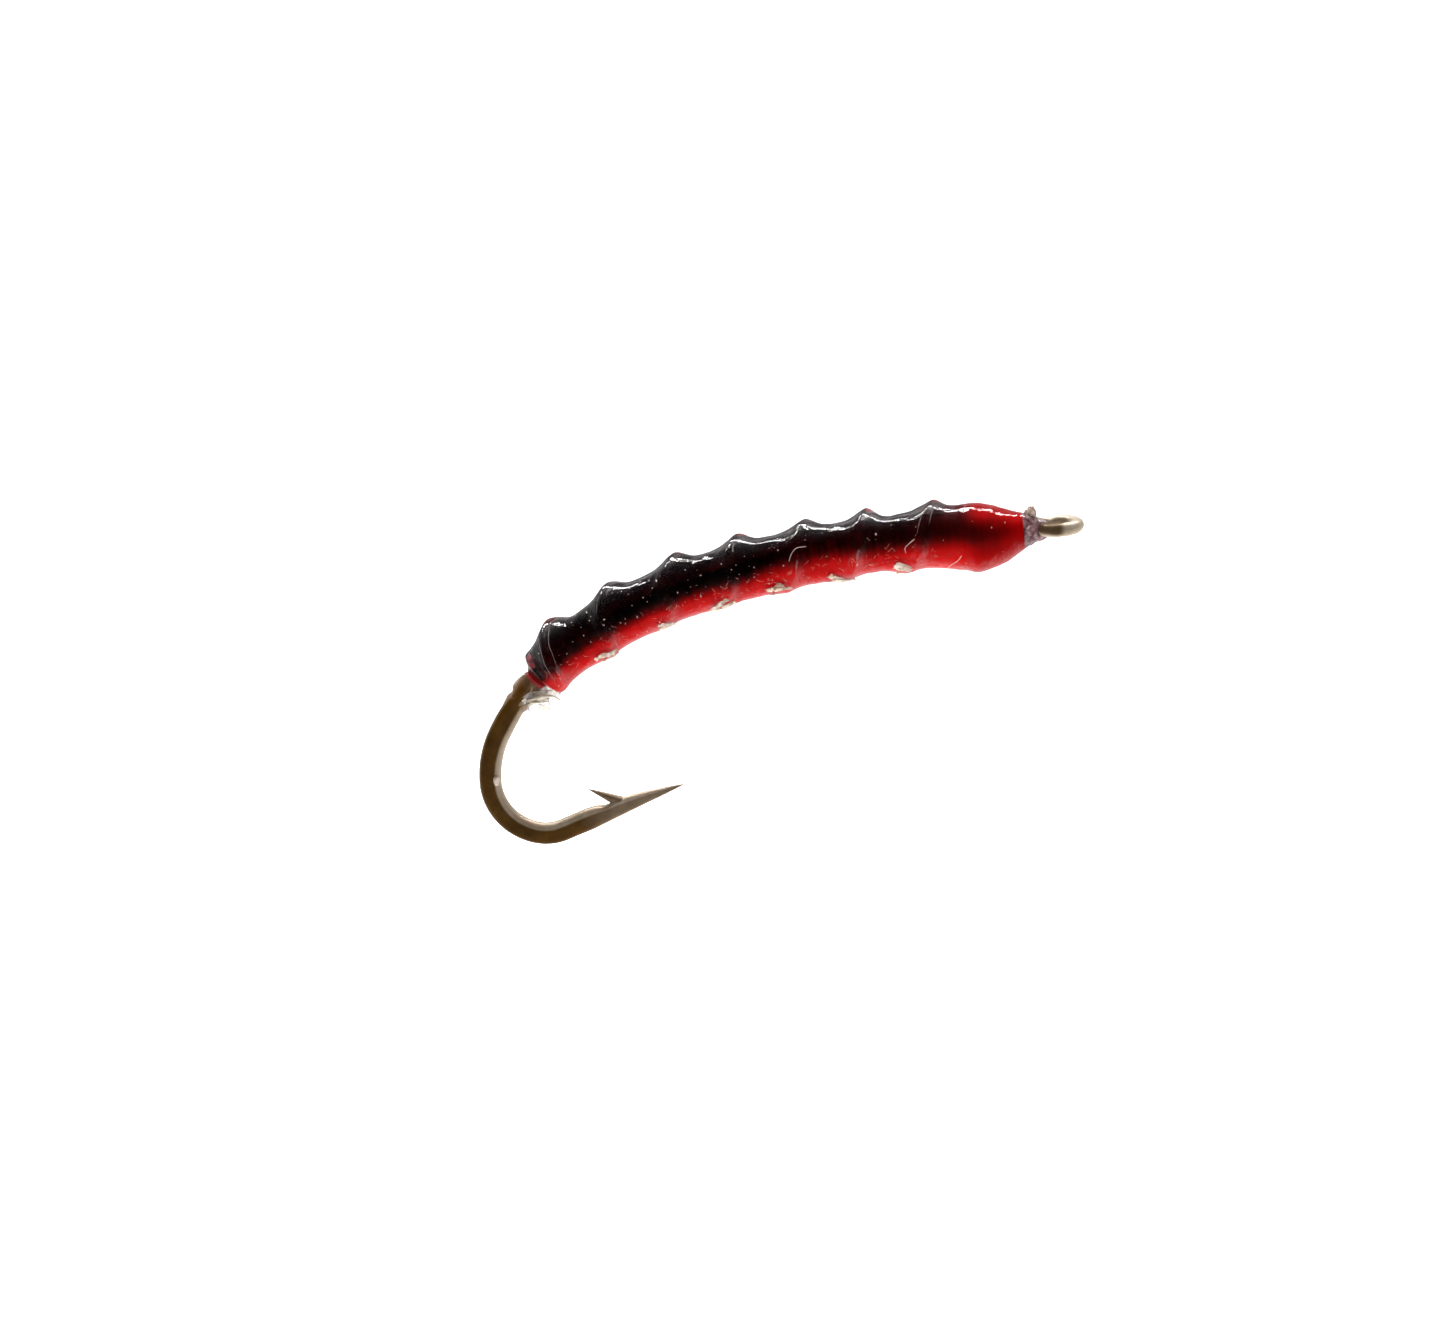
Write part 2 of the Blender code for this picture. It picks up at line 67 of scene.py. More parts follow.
def table_path():
    """Finely spaced places and headings from the eye's centre to the point of the hook."""
    step = 0.005

    def run(runs, heading):
        place = np.zeros(2)
        places, headings = [place.copy()], [heading]
        for length, turn in runs:
            count = max(1, round(length / step))
            for _ in range(count):
                half = math.radians(heading + turn / count / 2)
                place = place + length / count * np.array((math.cos(half), math.sin(half)))
                heading += turn / count
                places.append(place.copy())
                headings.append(heading)
        return np.array(places), np.array(headings)

    back, back_headings = run([(length, -turn) for length, turn in SHANK_RUNS], 180.0)
    spear, spear_headings = run(SPEAR_RUNS, 0.0)
    places = np.concatenate([back[::-1], spear[1:]])
    headings = np.concatenate([back_headings[::-1], spear_headings[1:] + 180.0])
    along = np.concatenate([[0.0], np.cumsum(np.linalg.norm(np.diff(places, axis=0), axis=1))])
    return along * WIRE_END / along[-1], places, headings


ALONG, PLACES, HEADINGS = table_path()


def wire_frames(s):
    """Places, directions towards the eye and outward directions for an array of distances."""
    s = np.asarray(s, float)
    x = np.interp(s, ALONG, PLACES[:, 0])
    z = np.interp(s, ALONG, PLACES[:, 1])
    heading = np.radians(np.interp(s, ALONG, HEADINGS))
    zero = np.zeros_like(s)
    before = np.minimum(s, 0.0)
    ahead = np.stack([np.cos(heading), zero, np.sin(heading)], -1)
    out = np.stack([-np.sin(heading), zero, np.cos(heading)], -1)
    return np.stack([x, zero, z], -1) - before[..., None] * ahead, ahead, out


def frame_at(s):
    """One place, its direction towards the eye and its outward direction."""
    return (values[0] for values in wire_frames(np.array([s])))


def around(s, angle, radius):
    """Points at that radius and angle, in degrees, round the wire's centreline."""
    s, angle, radius = np.broadcast_arrays(*(np.asarray(v, float) for v in (s, angle, radius)))
    place, _, out = wire_frames(s)
    turn = np.radians(angle)[..., None]
    return place + radius[..., None] * (np.cos(turn) * out - np.sin(turn) * FAR)


def unit(vector):
    return vector / np.linalg.norm(vector)


def smooth(x):
    x = np.clip(x, 0.0, 1.0)
    return x * x * (3 - 2 * x)


def wobble(points, scale, octaves=2, seed=0.0):
    """Smooth noise between about -1 and 1 at each point of an array."""
    flat = np.asarray(points).reshape(-1, 3) * scale + seed
    values = [noise.fractal(Vector(p), 1.0, 2.0, octaves, noise_basis="PERLIN_ORIGINAL") for p in flat]
    return np.array(values).reshape(np.asarray(points).shape[:-1])


def piece(name, points, faces, slot, material, replaces=()):
    """A smooth mesh of its own on the fly's one body."""
    mesh = bpy.data.meshes.new(name)
    mesh.from_pydata((np.asarray(points) * MM).tolist(), [], faces)
    shell = bmesh.new()
    shell.from_mesh(mesh)
    bmesh.ops.recalc_face_normals(shell, faces=shell.faces)
    shell.to_mesh(mesh)
    shell.free()
    made = bpy.data.objects.new(name, mesh)
    bpy.context.scene.collection.objects.link(made)
    mesh.shade_smooth()
    mesh.materials.append(material)
    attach(made, "root")
    if replaces:
        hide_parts(*replaces)
    return made


def lofted(rings):
    """Vertices and faces of a closed skin through rings of points, with a fan to the middle at each end."""
    rows, columns = rings.shape[:2]
    points = np.concatenate([rings.reshape(-1, 3), [rings[0].mean(0), rings[-1].mean(0)]])
    first, last = rows * columns, rows * columns + 1
    top = (rows - 1) * columns
    faces = []
    for low in range(0, top, columns):
        high = low + columns
        for j in range(columns):
            k = (j + 1) % columns
            faces.append((low + j, low + k, high + k, high + j))
    for j in range(columns):
        k = (j + 1) % columns
        faces.append((first, k, j))
        faces.append((last, top + j, top + k))
    return points, faces


def swept(spine, radii, sides):
    """Rings round a free spine, kept from twisting. radii is one number or an array."""
    spine = np.asarray(spine, float)
    radii = np.broadcast_to(np.asarray(radii, float), (len(spine),))
    tangents = np.gradient(spine, axis=0)
    tangents /= np.linalg.norm(tangents, axis=1)[:, None]
    side = unit(np.cross(tangents[0], (0.3, 0.8, 0.5)))
    turn = np.arange(sides) * 2 * math.pi / sides
    rings = []
    for place, along, radius in zip(spine, tangents, radii):
        side = unit(side - along * side.dot(along))
        up = np.cross(along, side)
        rings.append(place + radius * (np.cos(turn)[:, None] * side + np.sin(turn)[:, None] * up))
    return np.array(rings)


def merge(parts):
    """Several pairs of points and faces as one."""
    points, faces, base = [], [], 0
    for some, these in parts:
        points.append(some)
        faces.extend(tuple(base + i for i in face) for face in these)
        base += len(some)
    return np.concatenate(points), faces


def point_attribute(obj, name, values, ends=()):
    """A value for each vertex of the rings, followed by those of the two middles at the ends."""
    layer = obj.data.attributes.new(name, "FLOAT", "POINT")
    values = np.concatenate([np.ravel(values), ends])
    layer.data.foreach_set("value", values.astype(np.float32))


# ---------------------------------------------------------------- materials


class Nodes:
    """A short way to write node trees."""

    def __init__(self, name, world=False):
        if world:
            self.owner = bpy.data.worlds.new(name)
        else:
            self.owner = bpy.data.materials.new(name)
        self.owner.use_nodes = True
        self.tree = self.owner.node_tree
        self.tree.nodes.clear()

    def add(self, kind, inputs=None, **settings):
        node = self.tree.nodes.new(kind)
        for key, value in settings.items():
            setattr(node, key, value)
        for key, value in (inputs or {}).items():
            socket = node.inputs[key]
            if isinstance(value, bpy.types.NodeSocket):
                self.tree.links.new(value, socket)
            else:
                socket.default_value = value
        return node

    def math(self, operation, a, b=0.0, c=0.0, clamp=False):
        return self.add("ShaderNodeMath", {0: a, 1: b, 2: c}, operation=operation, use_clamp=clamp).outputs[0]

    def noise(self, vector, scale, detail=3.0, rough=0.5):
        inputs = {"Vector": vector, "Scale": scale, "Detail": detail, "Roughness": rough}
        return self.add("ShaderNodeTexNoise", inputs).outputs["Fac"]

    def attribute(self, name):
        return self.add("ShaderNodeAttribute", attribute_name=name, attribute_type="GEOMETRY").outputs["Fac"]

    def combine(self, x, y, z=0.0):
        return self.add("ShaderNodeCombineXYZ", {0: x, 1: y, 2: z}).outputs[0]

    def ramp(self, value, stops):
        node = self.add("ShaderNodeValToRGB", {0: value})
        elements = node.color_ramp.elements
        while len(elements) > 1:
            elements.remove(elements[-1])
        elements[0].position, elements[0].color = stops[0][0], (*stops[0][1], 1.0)
        for place, colour in stops[1:]:
            elements.new(place).color = (*colour, 1.0)
        return node.outputs[0]

    def position(self):
        return self.add("ShaderNodeTexCoord").outputs["Object"]

    def bump(self, height, strength, distance):
        return self.add("ShaderNodeBump", {"Height": height, "Strength": strength, "Distance": distance}).outputs[0]

    def principled(self, **inputs):
        named = {key.replace("_", " "): value for key, value in inputs.items()}
        return self.add("ShaderNodeBsdfPrincipled", named).outputs[0]

    def finish(self, shader):
        world = isinstance(self.owner, bpy.types.World)
        self.add("ShaderNodeOutputWorld" if world else "ShaderNodeOutputMaterial", {"Surface": shader})
        return self.owner

    def thread_noise(self, along, turn, detail, rough=0.5):
        """Noise drawn out along each turn of thread: how often it changes along the hook and round it."""
        place = self.combine(
            self.math("MULTIPLY", self.attribute("along"), along), self.math("MULTIPLY", self.attribute("turn"), turn),
        )
        return self.noise(place, 1.0, detail, rough)


def thread_material():
    """Thread and floss: black over the back, bright red on the belly, with streaks along each turn; the tone also
    carries painted shade on the thorax.
    """
    n = Nodes("wound_thread")
    streak = n.thread_noise(9.0, 0.006, 3.0, 0.65)
    fine = n.thread_noise(30.0, 0.03, 2.0, 0.6)
    blotch = n.noise(n.position(), 900.0, 2.0, 0.5)
    ragged = n.math("MULTIPLY", n.math("SUBTRACT", streak, 0.5), 0.42)
    ragged = n.math("ADD", ragged, n.math("MULTIPLY", n.math("SUBTRACT", fine, 0.5), 0.22))
    # The tone attribute includes painted shade on the thorax.
    value = n.math("MULTIPLY_ADD", ragged, n.attribute("streaks"), n.attribute("tone"))
    value = n.math("ADD", value, n.math("MULTIPLY", n.math("SUBTRACT", blotch, 0.5), 0.22))
    colour = n.ramp(value, (
        (0.0, (0.0003, 0.0001, 0.0002)),
        (0.30, (0.0012, 0.0002, 0.0003)),
        (0.42, (0.012, 0.0003, 0.0005)),
        (0.50, (0.035, 0.0003, 0.0005)),
        (0.60, (0.10, 0.0004, 0.0006)),
        (0.70, (0.22, 0.0005, 0.0008)),
        (0.85, (0.45, 0.0010, 0.0012)),
        (1.0, (0.68, 0.008, 0.008)),
    ))
    rough = n.math("MULTIPLY_ADD", fine, 0.3, 0.22)
    normal = n.bump(fine, 0.35, 0.00001)
    return n.finish(n.principled(
        Base_Color=colour, Roughness=rough, Normal=normal, Specular_IOR_Level=0.03,
    ))


def strip_material():
    """The dark strip down the back, purple-black with faint streaks."""
    n = Nodes("dark_strip")
    streak = n.thread_noise(14.0, 0.02, 3.0, 0.6)
    patch = n.noise(n.position(), 1100.0, 2.0, 0.5)
    value = n.math("ADD", streak, n.math("SUBTRACT", patch, 0.5))
    black = n.ramp(value, (
        (0.35, (0.0004, 0.0002, 0.0003)), (0.6, (0.003, 0.0008, 0.0022)), (0.9, (0.014, 0.003, 0.012)),
    ))
    red = n.ramp(value, ((0.3, (0.004, 0.0003, 0.0004)), (0.8, (0.022, 0.0004, 0.0006))))
    colour = n.add("ShaderNodeMix", {0: n.attribute("rim"), 6: black, 7: red}, data_type="RGBA").outputs[2]
    rough = n.math("MULTIPLY_ADD", streak, 0.25, 0.4)
    return n.finish(n.principled(
        Base_Color=colour, Roughness=rough, Normal=n.bump(streak, 0.4, 0.00001), Specular_IOR_Level=0.03,
    ))


def resin_material(name, tint, rough_low, rough_range, bump_scale, bump_size, ior=1.48, rippled=0.0):
    """Clear cured resin with a slightly uneven wet surface, rippled over the thread turns."""
    n = Nodes(name)
    place = n.position()
    uneven = n.noise(place, bump_scale, 2.0, 0.5)
    fine = n.noise(place, bump_scale * 6.0, 3.0, 0.6)
    tiny = n.noise(place, bump_scale * 17.0, 2.0, 0.5)
    height = n.math("MULTIPLY_ADD", fine, 0.26, n.math("MULTIPLY", uneven, 0.9))
    height = n.math("MULTIPLY_ADD", tiny, 0.06, height)
    if rippled:
        height = n.math("MULTIPLY_ADD", n.thread_noise(11.0, 0.03, 2.0), rippled, height)
    rough = n.math("MULTIPLY_ADD", fine, rough_range, rough_low)
    colour = n.ramp(uneven, ((0.3, tint), (0.8, tuple(min(1.0, 1.02 * c) for c in tint))))
    return n.finish(n.principled(
        Base_Color=colour, Roughness=rough, Normal=n.bump(height, 0.6, bump_size),
        Transmission_Weight=1.0, IOR=ior,
    ))


def film_material():
    """Thin clear film: nearly invisible face on, a grey veil where it turns away."""
    n = Nodes("clear_film")
    place = n.position()
    crinkle = n.noise(place, 2600.0, 3.0, 0.6)
    weight = n.add("ShaderNodeLayerWeight", {"Blend": 0.38}).outputs["Facing"]
    patch = n.noise(place, 800.0, 2.0, 0.5)
    veil = n.math("MULTIPLY", n.math("POWER", weight, 2.2), n.math("MULTIPLY_ADD", patch, 0.9, 0.15), clamp=True)
    glossy = n.add("ShaderNodeBsdfGlossy", {
        "Color": (0.85, 0.82, 0.84, 1.0), "Roughness": 0.22, "Normal": n.bump(crinkle, 0.5, 0.00002),
    }).outputs[0]
    clear = n.add("ShaderNodeBsdfTransparent", {"Color": (0.98, 0.97, 0.97, 1.0)}).outputs[0]
    mixed = n.add("ShaderNodeMixShader", {0: n.math("MULTIPLY", veil, 0.5), 1: clear, 2: glossy}).outputs[0]
    return n.finish(mixed)


def tag_material(name, fold_colour, film_colour, edge_colour, clear, ior):
    """Crumpled clear film seen edge-on in places: whitish, with tan folds."""
    n = Nodes(name)
    fold = n.noise(n.position(), 5200.0, 3.0, 0.6)
    colour = n.ramp(fold, ((0.36, fold_colour), (0.48, film_colour), (0.7, edge_colour)))
    rough = n.math("MULTIPLY_ADD", fold, 0.3, 0.05)
    return n.finish(n.principled(
        Base_Color=colour, Roughness=rough, Normal=n.bump(fold, 0.8, 0.00004), Transmission_Weight=clear, IOR=ior,
    ))


def collar_material():
    """Resin that set cloudy round the root of the eye, purple-grey over the red thread."""
    n = Nodes("cloudy_resin")
    cloud = n.noise(n.position(), 3800.0, 4.0, 0.65)
    colour = n.ramp(cloud, (
        (0.32, (0.06, 0.012, 0.02)), (0.46, (0.20, 0.10, 0.12)),
        (0.60, (0.42, 0.30, 0.30)), (0.75, (0.75, 0.66, 0.62)),
    ))
    rough = n.math("MULTIPLY_ADD", cloud, 0.3, 0.08)
    return n.finish(n.principled(
        Base_Color=colour, Roughness=rough, Normal=n.bump(cloud, 0.8, 0.00004), Transmission_Weight=0.35, IOR=1.48,
    ))


def steel_material():
    """Bronzed forged wire: dark olive brown, paler towards the eye and the point, with painted reflections along the
    forged edges and on the eye's ring, and fine drawing lines.
    """
    n = Nodes("bronzed_steel")
    mottled = n.noise(n.position(), 1500.0, 4.0, 0.6)
    lines = n.thread_noise(0.8, 0.35, 3.0, 0.6)
    dark = n.ramp(mottled, (
        (0.3, (0.062, 0.025, 0.0005)), (0.55, (0.095, 0.040, 0.001)), (0.8, (0.135, 0.062, 0.003)),
    ))
    pale = n.ramp(mottled, ((0.3, (0.50, 0.39, 0.27)), (0.8, (0.82, 0.72, 0.58))))
    # The edge attribute mixes in pale metal: paler stretches near the eye and the point, and painted reflection on the
    # forged edges and the ring.
    blend = n.add("ShaderNodeMix", {0: n.attribute("edge"), 6: dark, 7: pale}, data_type="RGBA").outputs[2]
    rough = n.math("MULTIPLY_ADD", mottled, 0.22, 0.24)
    normal = n.bump(n.math("ADD", lines, n.math("MULTIPLY", mottled, 0.5)), 0.25, 0.00001)
    metal = n.math("MULTIPLY_ADD", n.attribute("bare"), 0.12, 0.32)
    return n.finish(n.principled(
        Base_Color=blend, Metallic=metal, Roughness=rough, Normal=normal, Specular_IOR_Level=0.3,
    ))


def plain_fibre_material(name, low, high, sheen=0.2):
    """Dull, finely speckled thread, floss or trapped air, also used for pale marks that are painted highlights."""
    n = Nodes(name)
    speck = n.noise(n.position(), 9000.0, 2.0, 0.6)
    colour = n.ramp(speck, ((0.3, low), (0.75, high)))
    rough = n.math("MULTIPLY_ADD", speck, 0.3, 0.35)
    return n.finish(n.principled(
        Base_Color=colour, Roughness=rough, Normal=n.bump(speck, 0.4, 0.00001), Sheen_Weight=sheen,
    ))


THREAD = thread_material()
STRIP = strip_material()
COAT = resin_material("clear_resin", (0.97, 0.905, 0.915), 0.02, 0.05, 1300.0, 0.00003, rippled=0.75)
STRAND = resin_material("clear_strand", (0.97, 0.95, 0.95), 0.03, 0.06, 2500.0, 0.00002, ior=1.08)
FILM = film_material()
TAG = tag_material("clear_tag", (0.74, 0.66, 0.54), (0.93, 0.91, 0.87), (0.99, 0.98, 0.97), 0.55, 1.2)
BEAD = tag_material("pale_bead", (0.50, 0.38, 0.30), (0.78, 0.68, 0.60), (0.96, 0.90, 0.86), 0.55, 1.35)
ROLL = tag_material("film_roll", (0.30, 0.21, 0.12), (0.62, 0.52, 0.38), (0.88, 0.82, 0.70), 0.30, 1.3)
CREAM = tag_material("cream_folds", (0.62, 0.34, 0.20), (0.96, 0.84, 0.68), (1.0, 0.95, 0.88), 0.35, 1.2)
COLLAR = collar_material()
STEEL = steel_material()
BUTTS = plain_fibre_material("tan_butts", (0.26, 0.15, 0.11), (1.0, 0.82, 0.68), 0.0)
PALE = plain_fibre_material("pale_fibre", (0.62, 0.40, 0.34), (0.95, 0.80, 0.74))
FUZZ = plain_fibre_material("red_fuzz", (0.25, 0.005, 0.005), (0.75, 0.03, 0.03))
NUB = plain_fibre_material("red_nub", (0.012, 0.0003, 0.001), (0.30, 0.001, 0.008), 0.0)
# Painted highlight: pale colour standing in for the shine of trapped air along the strand.
AIR_HIGHLIGHT = plain_fibre_material("air_painted_highlight", (0.20, 0.17, 0.17), (0.62, 0.58, 0.56))
WISP = plain_fibre_material("floss_wisp", (0.70, 0.16, 0.10), (0.95, 0.62, 0.50))
# Pale specks: dust, and painted highlights standing in for the glints of air bubbles.
SPECK_GLINT = plain_fibre_material("speck_and_painted_glint", (0.8, 0.74, 0.68), (1.0, 0.97, 0.93))


# ---------------------------------------------------------------- body shape

CREST_SHIFT = (0.20, 0.17, 0.0, 0.02, -0.08, 0.0, 0.01)
CREST_TOP = (1.08, 1.06, 1.05, 1.06, 1.05, 1.03, 1.04)


def crest_place(angle):
    """Distance along the hook of the strand's middle at an angle counted on through its turns."""
    turns = np.asarray(angle, float) / 360.0
    shift = np.interp(turns, np.arange(CRESTS), CREST_SHIFT)
    return FIRST_CREST + RIB_PITCH * turns + shift


def belly_share(angle):
    """0 on the back and 1 on the belly."""
    return (1 - np.cos(np.radians(angle))) / 2


def rounded(s, places, values, reach=0.14):
    """Values between places, with the corners rounded over the reach."""
    return sum(np.interp(s + shift * reach, places, values) for shift in (-1.0, -0.5, 0.0, 0.5, 1.0)) / 5


def core_radius(s, angle):
    """The wound thread: nearly even along the body, fuller and lower-hanging at the thorax."""
    body = np.interp(
        s, (2.4, 3.0, 4.9, 6.3, 9.0, 13.0, 15.0, BODY_END), (0.73, 0.71, 0.65, 0.68, 0.70, 0.68, 0.64, 0.50),
    )
    thorax = rounded(
        s, (0.60, 0.72, 0.80, 0.93, 1.1, 1.3, 1.6, 1.9, 2.2, 2.45, BODY_START, 3.0),
        (0.24, 0.30, 0.35, 0.40, 0.43, 0.49, 0.61, 0.71, 0.77, 0.78, 0.74, 0.71),
    )
    sag = 0.20 * smooth((s - 0.6) / 1.0) * (1 - smooth((s - 2.3) / 1.0))
    base = np.where(s < BODY_START, thorax, body)
    away = belly_share(angle)
    lifted = 0.14 * crest_bump(s, angle) ** 1.5 * (1 - smooth((away - 0.35) / 0.4)) * smooth((s - 2.4) / 0.4)
    return base + sag * away + lifted


def crest_bump(s, angle):
    """0 to 1: how far the coat rises towards the nearest turn of the strand."""
    best = np.zeros(np.broadcast(s, angle).shape)
    for turn in range(-1, CRESTS + 1):
        counted = angle + 360.0 * turn
        gap = s - crest_place(counted)
        width = np.where(gap > 0, 0.45, 0.29)
        here = np.exp(-((np.abs(gap) / width) ** 1.6))
        ahead = smooth((counted + 190.0) / 60.0) * (1 - smooth((counted - 360.0 * (CRESTS - 1) - 140.0) / 60.0))
        best = np.maximum(best, here * ahead)
    return best


def coat_radius(s, angle):
    """The clear resin's surface: hollow between turns of the strand, smooth over the thorax."""
    away = belly_share(angle)
    valley = rounded(
        s, (2.4, 3.0, 4.2, 4.9, 5.4, 6.3, 8.4, 10.2, 12.0, 13.5, BODY_END),
        (0.88, 0.83, 0.79, 0.71, 0.74, 0.77, 0.79, 0.78, 0.77, 0.75, 0.70), 0.25,
    )
    valley = valley + 0.01 * away + 0.10 * away * (1 - smooth((s - BODY_START) / 0.9))
    valley = valley + 0.045 * (away - 0.5) * smooth((s - 8.0) / 2.0)
    turn = (s - FIRST_CREST) / RIB_PITCH
    top = np.interp(turn, np.arange(CRESTS), CREST_TOP)
    crest = top - 0.17 * smooth((away - 0.45) / 0.5)
    body = valley + (crest - valley) * crest_bump(s, angle)
    thorax = core_radius(s, angle) + np.interp(s, (0.60, 0.9, 1.3, 2.2, BODY_START), (0.05, 0.07, 0.08, 0.10, 0.12))
    mixed = smooth((s - 2.25) / 0.7)
    shape = thorax + (body - thorax) * mixed
    ends = np.sqrt(np.clip((s - COAT_START) / 0.09, 0.0, 1.0)) * np.sqrt(np.clip((COAT_END - s) / 0.16, 0.0, 1.0))
    return WIRE_RADIUS + (shape - WIRE_RADIUS) * ends


def body_grid(stations, sides):
    """Each station paired with each angle of a ring with that many sides."""
    angle = np.arange(sides) * 360.0 / sides
    return np.meshgrid(stations, angle, indexing="ij")


def from_back(angle):
    """Degrees from the back, on either side."""
    return np.abs((angle + 180.0) % 360.0 - 180.0)


def tone_of(s, angle):
    """0 is black and 1 is bright red. The dark back stops near the thorax, which has a patch of painted shade on its
    flank and painted shade over its top.
    """
    away = from_back(angle)
    edge = np.interp(s, (BODY_START, 4.8, 6.3, 7.7, 9.0, BODY_END), (76.0, 80.0, 74.0, 76.0, 90.0, 92.0))
    width = np.interp(s, (BODY_START, 4.8, 7.7, 9.0, BODY_END), (60.0, 62.0, 60.0, 47.0, 47.0))
    floor = np.interp(
        s, (BODY_START, 3.7, 4.8, 6.3, 7.7, 9.0, 12.6, 13.6, BODY_END),
        (0.52, 0.43, 0.40, 0.42, 0.36, 0.24, 0.26, 0.38, 0.40),
    )
    rising = 0.5 + (away - edge) / width
    body = np.log(np.exp(12 * floor) + np.exp(12 * rising)) / 12
    # Painted shade on the thorax: a dark patch on the flank about 78 degrees from the back, and the top darkened by a
    # tenth.
    patch_shade = np.interp(s, (0.9, 1.5, 2.1, BODY_START), (0.04, 0.15, 0.28, 0.36))
    thorax = 0.86 - 0.10 * (1 - smooth(away / 70.0)) - patch_shade * np.exp(-(((away - 78.0) / 27.0) ** 2))
    return thorax + (np.minimum(body, 1.0) - thorax) * smooth((s - 2.2) / 0.6)


def build_winding(name, low, high, node_names):
    """A bank of wound thread, each turn a ridge of its own."""
    s, angle = body_grid(np.arange(low, high, 0.0135), 72)
    level = np.zeros_like(s)
    uneven = wobble(np.stack([s * 2.2, np.radians(angle) * 0.55, level], -1), 1.0, 2, 3.7)
    phase = (s + 0.03 * angle / 360.0 + 0.035 * uneven) / TURN_PITCH
    ridge = np.sqrt(np.abs(np.sin(math.pi * phase)))
    strong = 0.6 + 0.4 * wobble(np.stack([s * 5.0, np.radians(angle) * 0.3, level], -1), 1.0, 1, 9.1)
    strong = strong * (0.35 + 0.65 * smooth((s - 2.2) / 0.8))
    radius = core_radius(s, angle) + 0.006 * ridge * strong - 0.004 + 0.014 * uneven
    made = piece(name, *lofted(around(s, angle, radius)), "red_floss", THREAD, node_names)
    point_attribute(made, "tone", tone_of(s, angle), (0.0, 0.0))
    point_attribute(made, "streaks", 0.22 + 0.55 * smooth((s - 2.2) / 4.0), (0.0, 0.0))
    point_attribute(made, "along", s, (low, high))
    point_attribute(made, "turn", from_back(angle), (0.0, 0.0))


def build_tail():
    """The last thread turns behind the body."""
    s, angle = body_grid(np.arange(15.30, 15.62, 0.0135), 48)
    swell = np.interp(s, (15.30, 15.38, 15.46, 15.54, 15.61), (0.54, 0.50, 0.43, 0.35, 0.29))
    phase = (s + 0.03 * angle / 360.0) / TURN_PITCH
    radius = swell + 0.01 * np.sqrt(np.abs(np.sin(math.pi * phase)))
    made = piece("tail_thread", *lofted(around(s, angle, radius)), "red_thread", THREAD, ("tail_wraps",))
    away = from_back(angle)
    point_attribute(made, "tone", 0.50 + 0.2 * away / 180.0, (0.6, 0.6))
    point_attribute(made, "streaks", np.ones(s.size), (0.6, 0.6))
    point_attribute(made, "along", s, (15.3, 15.6))
    point_attribute(made, "turn", away, (0.0, 0.0))


def back_skin(s, angle, low, high):
    """A thin closed skin over the back, between two heights above the wound thread."""
    base = core_radius(s, angle)
    top, under = around(s, angle, base + high), around(s, angle, base + low)
    return lofted(np.concatenate([top, under[:, ::-1]], 1))


def build_strip():
    """The dark strip, a thin skin with ragged edges over the back."""
    stations = np.arange(STRIP_START, 15.36, 0.04)
    half = np.interp(stations, (STRIP_START, 4.0, 7.0, 9.5), (24.0, 44.0, 50.0, 62.0))
    half = half + np.array([
        10.0 * noise.noise(Vector((s * 3.1, 0.0, 5.0))) + 8.0 * noise.noise(Vector((s * 11.0, 2.0, 5.0)))
        for s in stations
    ])
    share = np.linspace(-1, 1, 25)
    angle = share[None, :] * half[:, None]
    s = np.repeat(stations[:, None], len(share), 1)
    made = piece("back_strip_skin", *back_skin(s, angle, 0.004, 0.012), "black_strip", STRIP, ("back_strip",))
    point_attribute(made, "along", np.concatenate([s, s], 1), (0, 0))
    point_attribute(made, "turn", np.concatenate([angle, angle[:, ::-1]], 1), (0, 0))
    rim = np.tile(np.concatenate([share, share[::-1]]), len(stations))
    front = np.repeat(1 - smooth((stations - STRIP_START) / 1.6), 2 * len(share))
    point_attribute(made, "rim", np.maximum(smooth((np.abs(rim) - 0.45) / 0.55), front), (1, 1))


def build_film():
    """The clear film pulled over the back, slightly creased, under the strand."""
    stations = np.arange(2.80, 15.42, 0.06)
    share = np.linspace(-1, 1, 41)
    s = np.repeat(stations[:, None], len(share), 1)
    half = 122.0 + 9.0 * np.array([noise.noise(Vector((v * 2.3, 0.0, 1.0))) for v in stations])
    angle = share[None, :] * half[:, None]
    lift = 0.026 + 0.008 * wobble(around(s, angle, 0.75), 3.0, 2, 2.0)
    piece("film_skin", *back_skin(s, angle, lift, lift + 0.008), "clear_film", FILM, ("shell_film",))


def build_strand():
    """The clear rib strand, pressed into the body a little on the belly."""
    angle = np.arange(-70.0, 360.0 * (CRESTS - 1) + 152.0, 5.0)
    s = crest_place(angle)
    spine = around(s, angle, coat_radius(s, angle) - STRAND_RADIUS * 1.12)
    radii = STRAND_RADIUS * (1 + 0.05 * wobble(spine, 1.2, 2, 4.0))
    made = piece("rib_line", *lofted(swept(spine, radii, 20)), "clear_strand", STRAND, ("rib_strand",))
    made.visible_shadow = False


